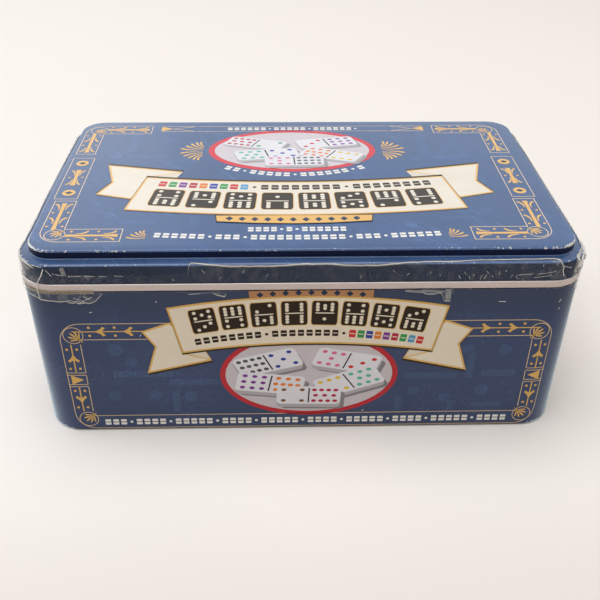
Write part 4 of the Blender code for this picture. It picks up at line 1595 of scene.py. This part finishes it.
TICKS = ((60.2, 6.4, 1.0), (61.8, 4.4, 1.3), (63.0, 5.6, 0.8), (65.6, 4.2, 1.8), (67.0, 4.4, 1.8),
         (68.6, 6.6, 1.1), (70.4, 5.0, 0.7), (72.6, 6.2, 1.3), (74.8, 7.4, 0.8), (76.8, 4.8, 1.2),
         (79.8, 4.3, 1.0), (82.2, 3.4, 0.8), (50.4, 5.6, 1.0), (46.6, 6.8, 0.8), (38.0, 6.2, 0.9),
         (33.5, 7.4, 1.2), (21.0, 5.2, 0.8), (-22.6, 7.6, 1.2), (-14.2, 6.2, 0.8),
         (-31.5, 5.4, 0.8), (-37.0, 7.8, 1.4), (-48.5, 4.6, 0.7), (88.6, 9.4, 1.2))


def film_reach(way):
    """How far the torn film reaches down and up here, and how crumpled it is."""
    place = way / MM
    for before, after in zip(FILM_EDGES, FILM_EDGES[1:]):
        if place <= after[0]:
            break
    share = min(max((place - before[0]) / (after[0] - before[0]), 0), 1)
    low, high, crumple = (mid(a, b, share) for a, b in zip(before[1:], after[1:]))
    rough = noise.noise(Vector((way * 90, 0.3, 1.7)))
    fine = noise.noise(Vector((way * 420, 5.1, 0.2)))
    low -= 0.12 * fine * (1 - low)
    return low * MM, (high + 0.3 * rough + 0.12 * fine) * MM, crumple


def film_section(reach):
    """Inset and height over the hem's foot on the film, this far up from the foot."""
    size = bpy.context.scene.tin_sizes
    edge = LID_HIGH.z - size.riser - size.shoulder_fall - HEM_BOTTOM
    if reach < size.hem_height:
        return FILM_OVER_HEM, reach
    if reach < edge - size.shoulder_radius:
        share = ease(reach, size.hem_height, 0.0055)
        return mid(FILM_OVER_HEM, FILM_ON_SKIRT, share), reach
    along = reach - (edge - size.shoulder_radius)
    radius = size.shoulder_radius + FILM_ROUND
    bend = min(along / radius, QUARTER)
    past = max(along - radius * QUARTER, 0)
    return (size.hem_bulge + size.shoulder_radius - radius * math.cos(bend) + past,
            edge - size.shoulder_radius + radius * math.sin(bend) + past * 0.18)


def make_film():
    """The torn clear film round the lid's skirt, crumpled at the corners."""
    size, tones = bpy.context.scene.tin_sizes, bpy.context.scene.tin_colours
    around = 4 * side_way(1)
    piece = begin("torn_film", bpy.ops.mesh.primitive_grid_add, x_subdivisions=FILM_COLUMNS,
                  y_subdivisions=FILM_ROWS, size=1)
    close()
    marks = {name: piece.data.attributes.new(name, 'FLOAT', 'POINT') for name in ("haze", "edge")}
    for number, vertex in enumerate(piece.data.vertices):
        way, up = (vertex.co.x + 0.5) * around - around / 2, vertex.co.y + 0.5
        if number % (FILM_COLUMNS + 1) == FILM_COLUMNS:
            way = -around / 2
        low, high, crumple = film_reach(way)
        reach = mid(low, high, ease(up, 0, 1))
        crumple *= mid(0.25, 1, ease(reach, size.hem_height, size.hem_height + 0.002))
        inset, rise = film_section(reach)
        at = rim_point(way, inset, HEM_BOTTOM + rise)
        torn = 1 - ease(high - reach, 0.0002, 0.0006)
        hem = 0.6 * (1 - ease(reach - low, 0.0001, 0.0005)) * ease(-low, 0.0006, 0.0022)
        hanging = 1 - ease(reach, -0.0012, 0.0002)
        out = (rim_point(way, inset - 0.001, at.z) - at).normalized()
        lump = noise.noise(at * 330) + 0.5 * noise.noise(at * 800)
        ridge = 0.5 - abs(noise.noise(at * 240 + Vector((7, 1, 3))))
        push = 0.00008 * ridge + crumple ** 2 * (0.0022 * ridge + 0.0012 * lump)
        push += hanging * 0.0006 * lump + torn * 0.0002 * ridge
        vertex.co = at + out * max(push, -0.00012) + Vector((0, 0, crumple ** 2 * 0.0007 * lump))
        marks["haze"].data[number].value = min(crumple + 0.05 * hanging, 1)
        marks["edge"].data[number].value = max(torn * ease(high, 0.0096, 0.0106), hem)
    piece.data.update()
    reopen(piece)
    bpy.ops.mesh.remove_doubles(threshold=0.000001)
    close()
    modify(piece, 'SOLIDIFY', thickness=FILM_THICK, offset=0)
    smooth(piece, math.radians(60))
    paint(piece, (clear_film("clear_film", tones.film, tones.film_edge), None))
    settle(piece, "lid", "clear_film", "shrink_film")


def make_creases():
    """White creases and nicks in the film, partly painted highlights of its folds, and an amber
    line along the hem at the left, a painted reflection.
    """
    tones = bpy.context.scene.tin_colours
    inks = {"crease": crease_film("crease_film", tones.film, 0.55),
            "nick": crease_film("nick_film", tones.film, 0.5),
            "amber": crease_film("amber_film", (0.48, 0.41, 0.25), 0.36),
            "grey": crease_film("grey_film", (0.42, 0.43, 0.45), 0.4)}
    motifs = make_motifs({"line": inks["crease"]})
    draw = Drawing(inks, motifs)
    for width, *points in CREASE_GLINTS:
        for start, end in zip(points, points[1:]):
            draw.line(start, end, "crease", width)
    for number, (way, reach, tall) in enumerate(TICKS):
        lean = 0.45 * (number % 5 - 2)
        draw.line((way, reach), (way + lean, reach + tall), "nick", 0.16)
    # Painted reflection: an amber line on the hem at the left, where the film's hanging flap is
    # reflected
    draw.line((-110, -0.1), (-79, -0.1), "amber", 1.3)
    draw.line((-88.9, 9.8), (-88.5, 7.6), "grey", 1.7)
    for start, end in ((38.4, 43.6), (44.4, 52.4)):
        draw.line((start, -0.5), (end, -1.0), "grey", 1.1)
    draw.line((54.2, -0.6), (54.4, -4.9), "grey", 2.2)

    def on_film(x, y, lift):
        inset, rise = film_section(y * MM)
        return rim_point(x * MM, inset - 0.00012 - lift, HEM_BOTTOM + rise)

    corner_cuts = [-110 + step * 1.5 for step in range(24)]
    lay_on(draw.joined("film_creases"), "film_creases", "lid", on_film, corner_cuts,
           "clear_film", 0.0)
    discard(*motifs.values())


# Stage

def make_floor(stage):
    """A wide pale floor, painted darker towards the front as shade, which the camera sees fade
    into the backdrop far from the tin.
    """
    floor = begin("floor", bpy.ops.mesh.primitive_plane_add, size=12,
                  location=(0, 0, CAD_BOX[0].z - 0.0002))
    close()
    sweep = Finish("floor_paper", 0.75, Specular_IOR_Level=0.0)
    tone = tuple(stage.floor)
    cloud = sweep.cloud(0.4, 2.0)
    distance = sweep.add("VectorMath", {0: sweep.place}, output=1, operation='LENGTH')
    camera = sweep.add("LightPath", {}, output=0)
    far = sweep.sum('MULTIPLY', sweep.rise(distance, 0.8, 2.2), camera)
    # Painted shade: the floor darkens towards the camera, in place of the light falling off
    front = sweep.rise(sweep.axes()[1], -0.08, -0.17)
    near = sweep.between(cloud, shade(tone, 0.985), shade(tone, 1.01))
    near = sweep.between(front, near, shade(tone, (0.88, 0.87, 0.87)))
    sweep.shader.inputs["Emission Color"].default_value = (*stage.backdrop, 1)
    sweep.feed(Base_Color=sweep.between(far, near, (0, 0, 0)), Emission_Strength=far)
    paint(floor, (sweep.material, None))


def make_world(stage):
    """Even warm light from all round; gloss sees it cooler and the camera sees the backdrop."""
    world = bpy.data.worlds.new("studio")
    bpy.context.scene.world = world
    world.use_nodes = True
    tree = world.node_tree
    path = tree.nodes.new("ShaderNodeLightPath")
    light = (*shade((1.0, 0.91, 0.79), stage.sky), 1)
    for ray, tone in (("Is Glossy Ray", shade((0.90, 0.96, 1.0), stage.gloss_sky)),
                      ("Is Transmission Ray", stage.backdrop), ("Is Camera Ray", stage.backdrop)):
        seen = tree.nodes.new("ShaderNodeMix")
        seen.data_type = 'RGBA'
        tree.links.new(path.outputs[ray], seen.inputs[0])
        if isinstance(light, tuple):
            seen.inputs[6].default_value = light
        else:
            tree.links.new(light, seen.inputs[6])
        seen.inputs[7].default_value = (*tone, 1)
        light = seen.outputs[2]
    tree.links.new(light, tree.nodes["Background"].inputs["Color"])


def add_lamp(name, place, power, size, tone):
    """A soft square lamp that looks at the tin."""
    put_down()
    bpy.ops.object.light_add(type='AREA', location=place)
    lamp = bpy.context.view_layer.objects.active
    lamp.name = lamp.data.name = name
    towards = Vector((0, 0, 0.04)) - lamp.location
    lamp.rotation_euler = towards.to_track_quat('-Z', 'Y').to_euler()
    lamp.data.energy, lamp.data.size, lamp.data.color = power, size, tone


def make_stage():
    """Floor, soft light and the camera at the photograph's angle."""
    stage = bpy.context.scene.tin_stage
    make_floor(stage)
    make_world(stage)
    add_lamp("key_lamp", (-0.28, -0.10, 2.40), stage.key_power, 2.2, (0.99, 0.995, 1.0))
    add_lamp("window_lamp", (-1.1, 2.1, 0.95), stage.window_power, 1.5, (0.97, 0.99, 1.0))
    add_lamp("side_lamp", (-1.7, 0.20, 0.50), stage.side_power, 1.0, (0.86, 0.94, 1.0))
    add_lamp("fill_lamp", (0.2, -1.9, 0.9), stage.fill_power, 1.6, (1.0, 0.74, 0.46))
    put_down()
    bpy.ops.object.camera_add()
    camera = bpy.context.view_layer.objects.active
    camera.name = "camera"
    right = Vector((0.99962, -0.026506, 0.007574))
    up = Vector((0.0089375, 0.571517, 0.820542))
    ahead = Vector((0.026078, 0.820162, -0.571536))
    place = Vector((-0.0094517, -0.3089329, 0.2358665))
    turned = Matrix((right, up, -ahead)).transposed().to_4x4()
    camera.matrix_world = Matrix.Translation(place) @ turned
    camera.data.sensor_fit, camera.data.sensor_width = 'HORIZONTAL', 36
    camera.data.lens, camera.data.clip_start = stage.lens, 0.01
    bpy.context.scene.camera = camera
    bpy.context.scene.view_settings.view_transform = 'Standard'


class TIN_OT_wall(bpy.types.Operator):
    """Make the wall of the tin and its seam"""

    bl_idname = "domino_tin.wall"
    bl_label = "Wall"

    def execute(self, context):
        make_wall()
        make_seam()
        return {'FINISHED'}


class TIN_OT_base(bpy.types.Operator):
    """Make the base of the tin"""

    bl_idname = "domino_tin.base"
    bl_label = "Base"

    def execute(self, context):
        make_base()
        return {'FINISHED'}


class TIN_OT_lid(bpy.types.Operator):
    """Make the stepped lid"""

    bl_idname = "domino_tin.lid"
    bl_label = "Lid"

    def execute(self, context):
        make_lid()
        return {'FINISHED'}


class TIN_OT_wall_print(bpy.types.Operator):
    """Print the four sides of the wall"""

    bl_idname = "domino_tin.wall_print"
    bl_label = "Print on the wall"

    def execute(self, context):
        make_wall_print()
        return {'FINISHED'}


class TIN_OT_lid_print(bpy.types.Operator):
    """Print the lid's panel"""

    bl_idname = "domino_tin.lid_print"
    bl_label = "Print on the lid"

    def execute(self, context):
        make_lid_print()
        return {'FINISHED'}


class TIN_OT_tiles(bpy.types.Operator):
    """Make the double-twelve set of tiles"""

    bl_idname = "domino_tin.tiles"
    bl_label = "Tiles"

    def execute(self, context):
        make_tiles()
        return {'FINISHED'}


class TIN_OT_starter(bpy.types.Operator):
    """Make the octagonal starter piece"""

    bl_idname = "domino_tin.starter"
    bl_label = "Starter piece"

    def execute(self, context):
        make_starter()
        return {'FINISHED'}


class TIN_OT_booklet(bpy.types.Operator):
    """Make the folded booklet"""

    bl_idname = "domino_tin.booklet"
    bl_label = "Booklet"

    def execute(self, context):
        make_booklet()
        return {'FINISHED'}


class TIN_OT_film(bpy.types.Operator):
    """Make the torn film round the lid"""

    bl_idname = "domino_tin.film"
    bl_label = "Torn film"

    def execute(self, context):
        make_film()
        make_creases()
        return {'FINISHED'}


class TIN_OT_stage(bpy.types.Operator):
    """Set up the floor, the light and the camera"""

    bl_idname = "domino_tin.stage"
    bl_label = "Stage"

    def execute(self, context):
        make_stage()
        return {'FINISHED'}


OPERATORS = (TIN_OT_stage, TIN_OT_wall, TIN_OT_base, TIN_OT_lid, TIN_OT_wall_print,
             TIN_OT_lid_print, TIN_OT_tiles, TIN_OT_starter, TIN_OT_booklet, TIN_OT_film)
GROUPS = (("tin_sizes", TinSizes), ("tin_colours", TinColours), ("tile_sizes", TileSizes),
          ("tin_stage", StageSettings))


class TIN_PT_panel(bpy.types.Panel):
    """The tin's operators, sizes and colours in the sidebar."""

    bl_idname = "TIN_PT_panel"
    bl_label = "Domino tin"
    bl_space_type = 'VIEW_3D'
    bl_region_type = 'UI'
    bl_category = "Domino tin"

    def draw(self, context):
        for operator in OPERATORS:
            self.layout.operator(operator.bl_idname)
        for name, group in GROUPS:
            box = self.layout.box()
            box.label(text=group.__doc__)
            for field in group.__annotations__:
                box.prop(getattr(context.scene, name), field)


def register():
    """Register the groups, operators and panel."""
    for name, group in GROUPS:
        bpy.utils.register_class(group)
        setattr(bpy.types.Scene, name, PointerProperty(type=group))
    for operator in OPERATORS:
        bpy.utils.register_class(operator)
    bpy.utils.register_class(TIN_PT_panel)


def unregister():
    """Take back what register added."""
    bpy.utils.unregister_class(TIN_PT_panel)
    for operator in reversed(OPERATORS):
        bpy.utils.unregister_class(operator)
    for name, group in reversed(GROUPS):
        delattr(bpy.types.Scene, name)
        bpy.utils.unregister_class(group)


def main():
    """Dress the packed tin and set the stage."""
    register()
    bpy.ops.domino_tin.stage()
    bpy.ops.domino_tin.wall()
    bpy.ops.domino_tin.base()
    bpy.ops.domino_tin.lid()
    bpy.ops.domino_tin.wall_print()
    bpy.ops.domino_tin.lid_print()
    bpy.ops.domino_tin.tiles()
    bpy.ops.domino_tin.starter()
    bpy.ops.domino_tin.booklet()
    bpy.ops.domino_tin.film()
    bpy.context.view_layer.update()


if __name__ == "__main__":
    main()
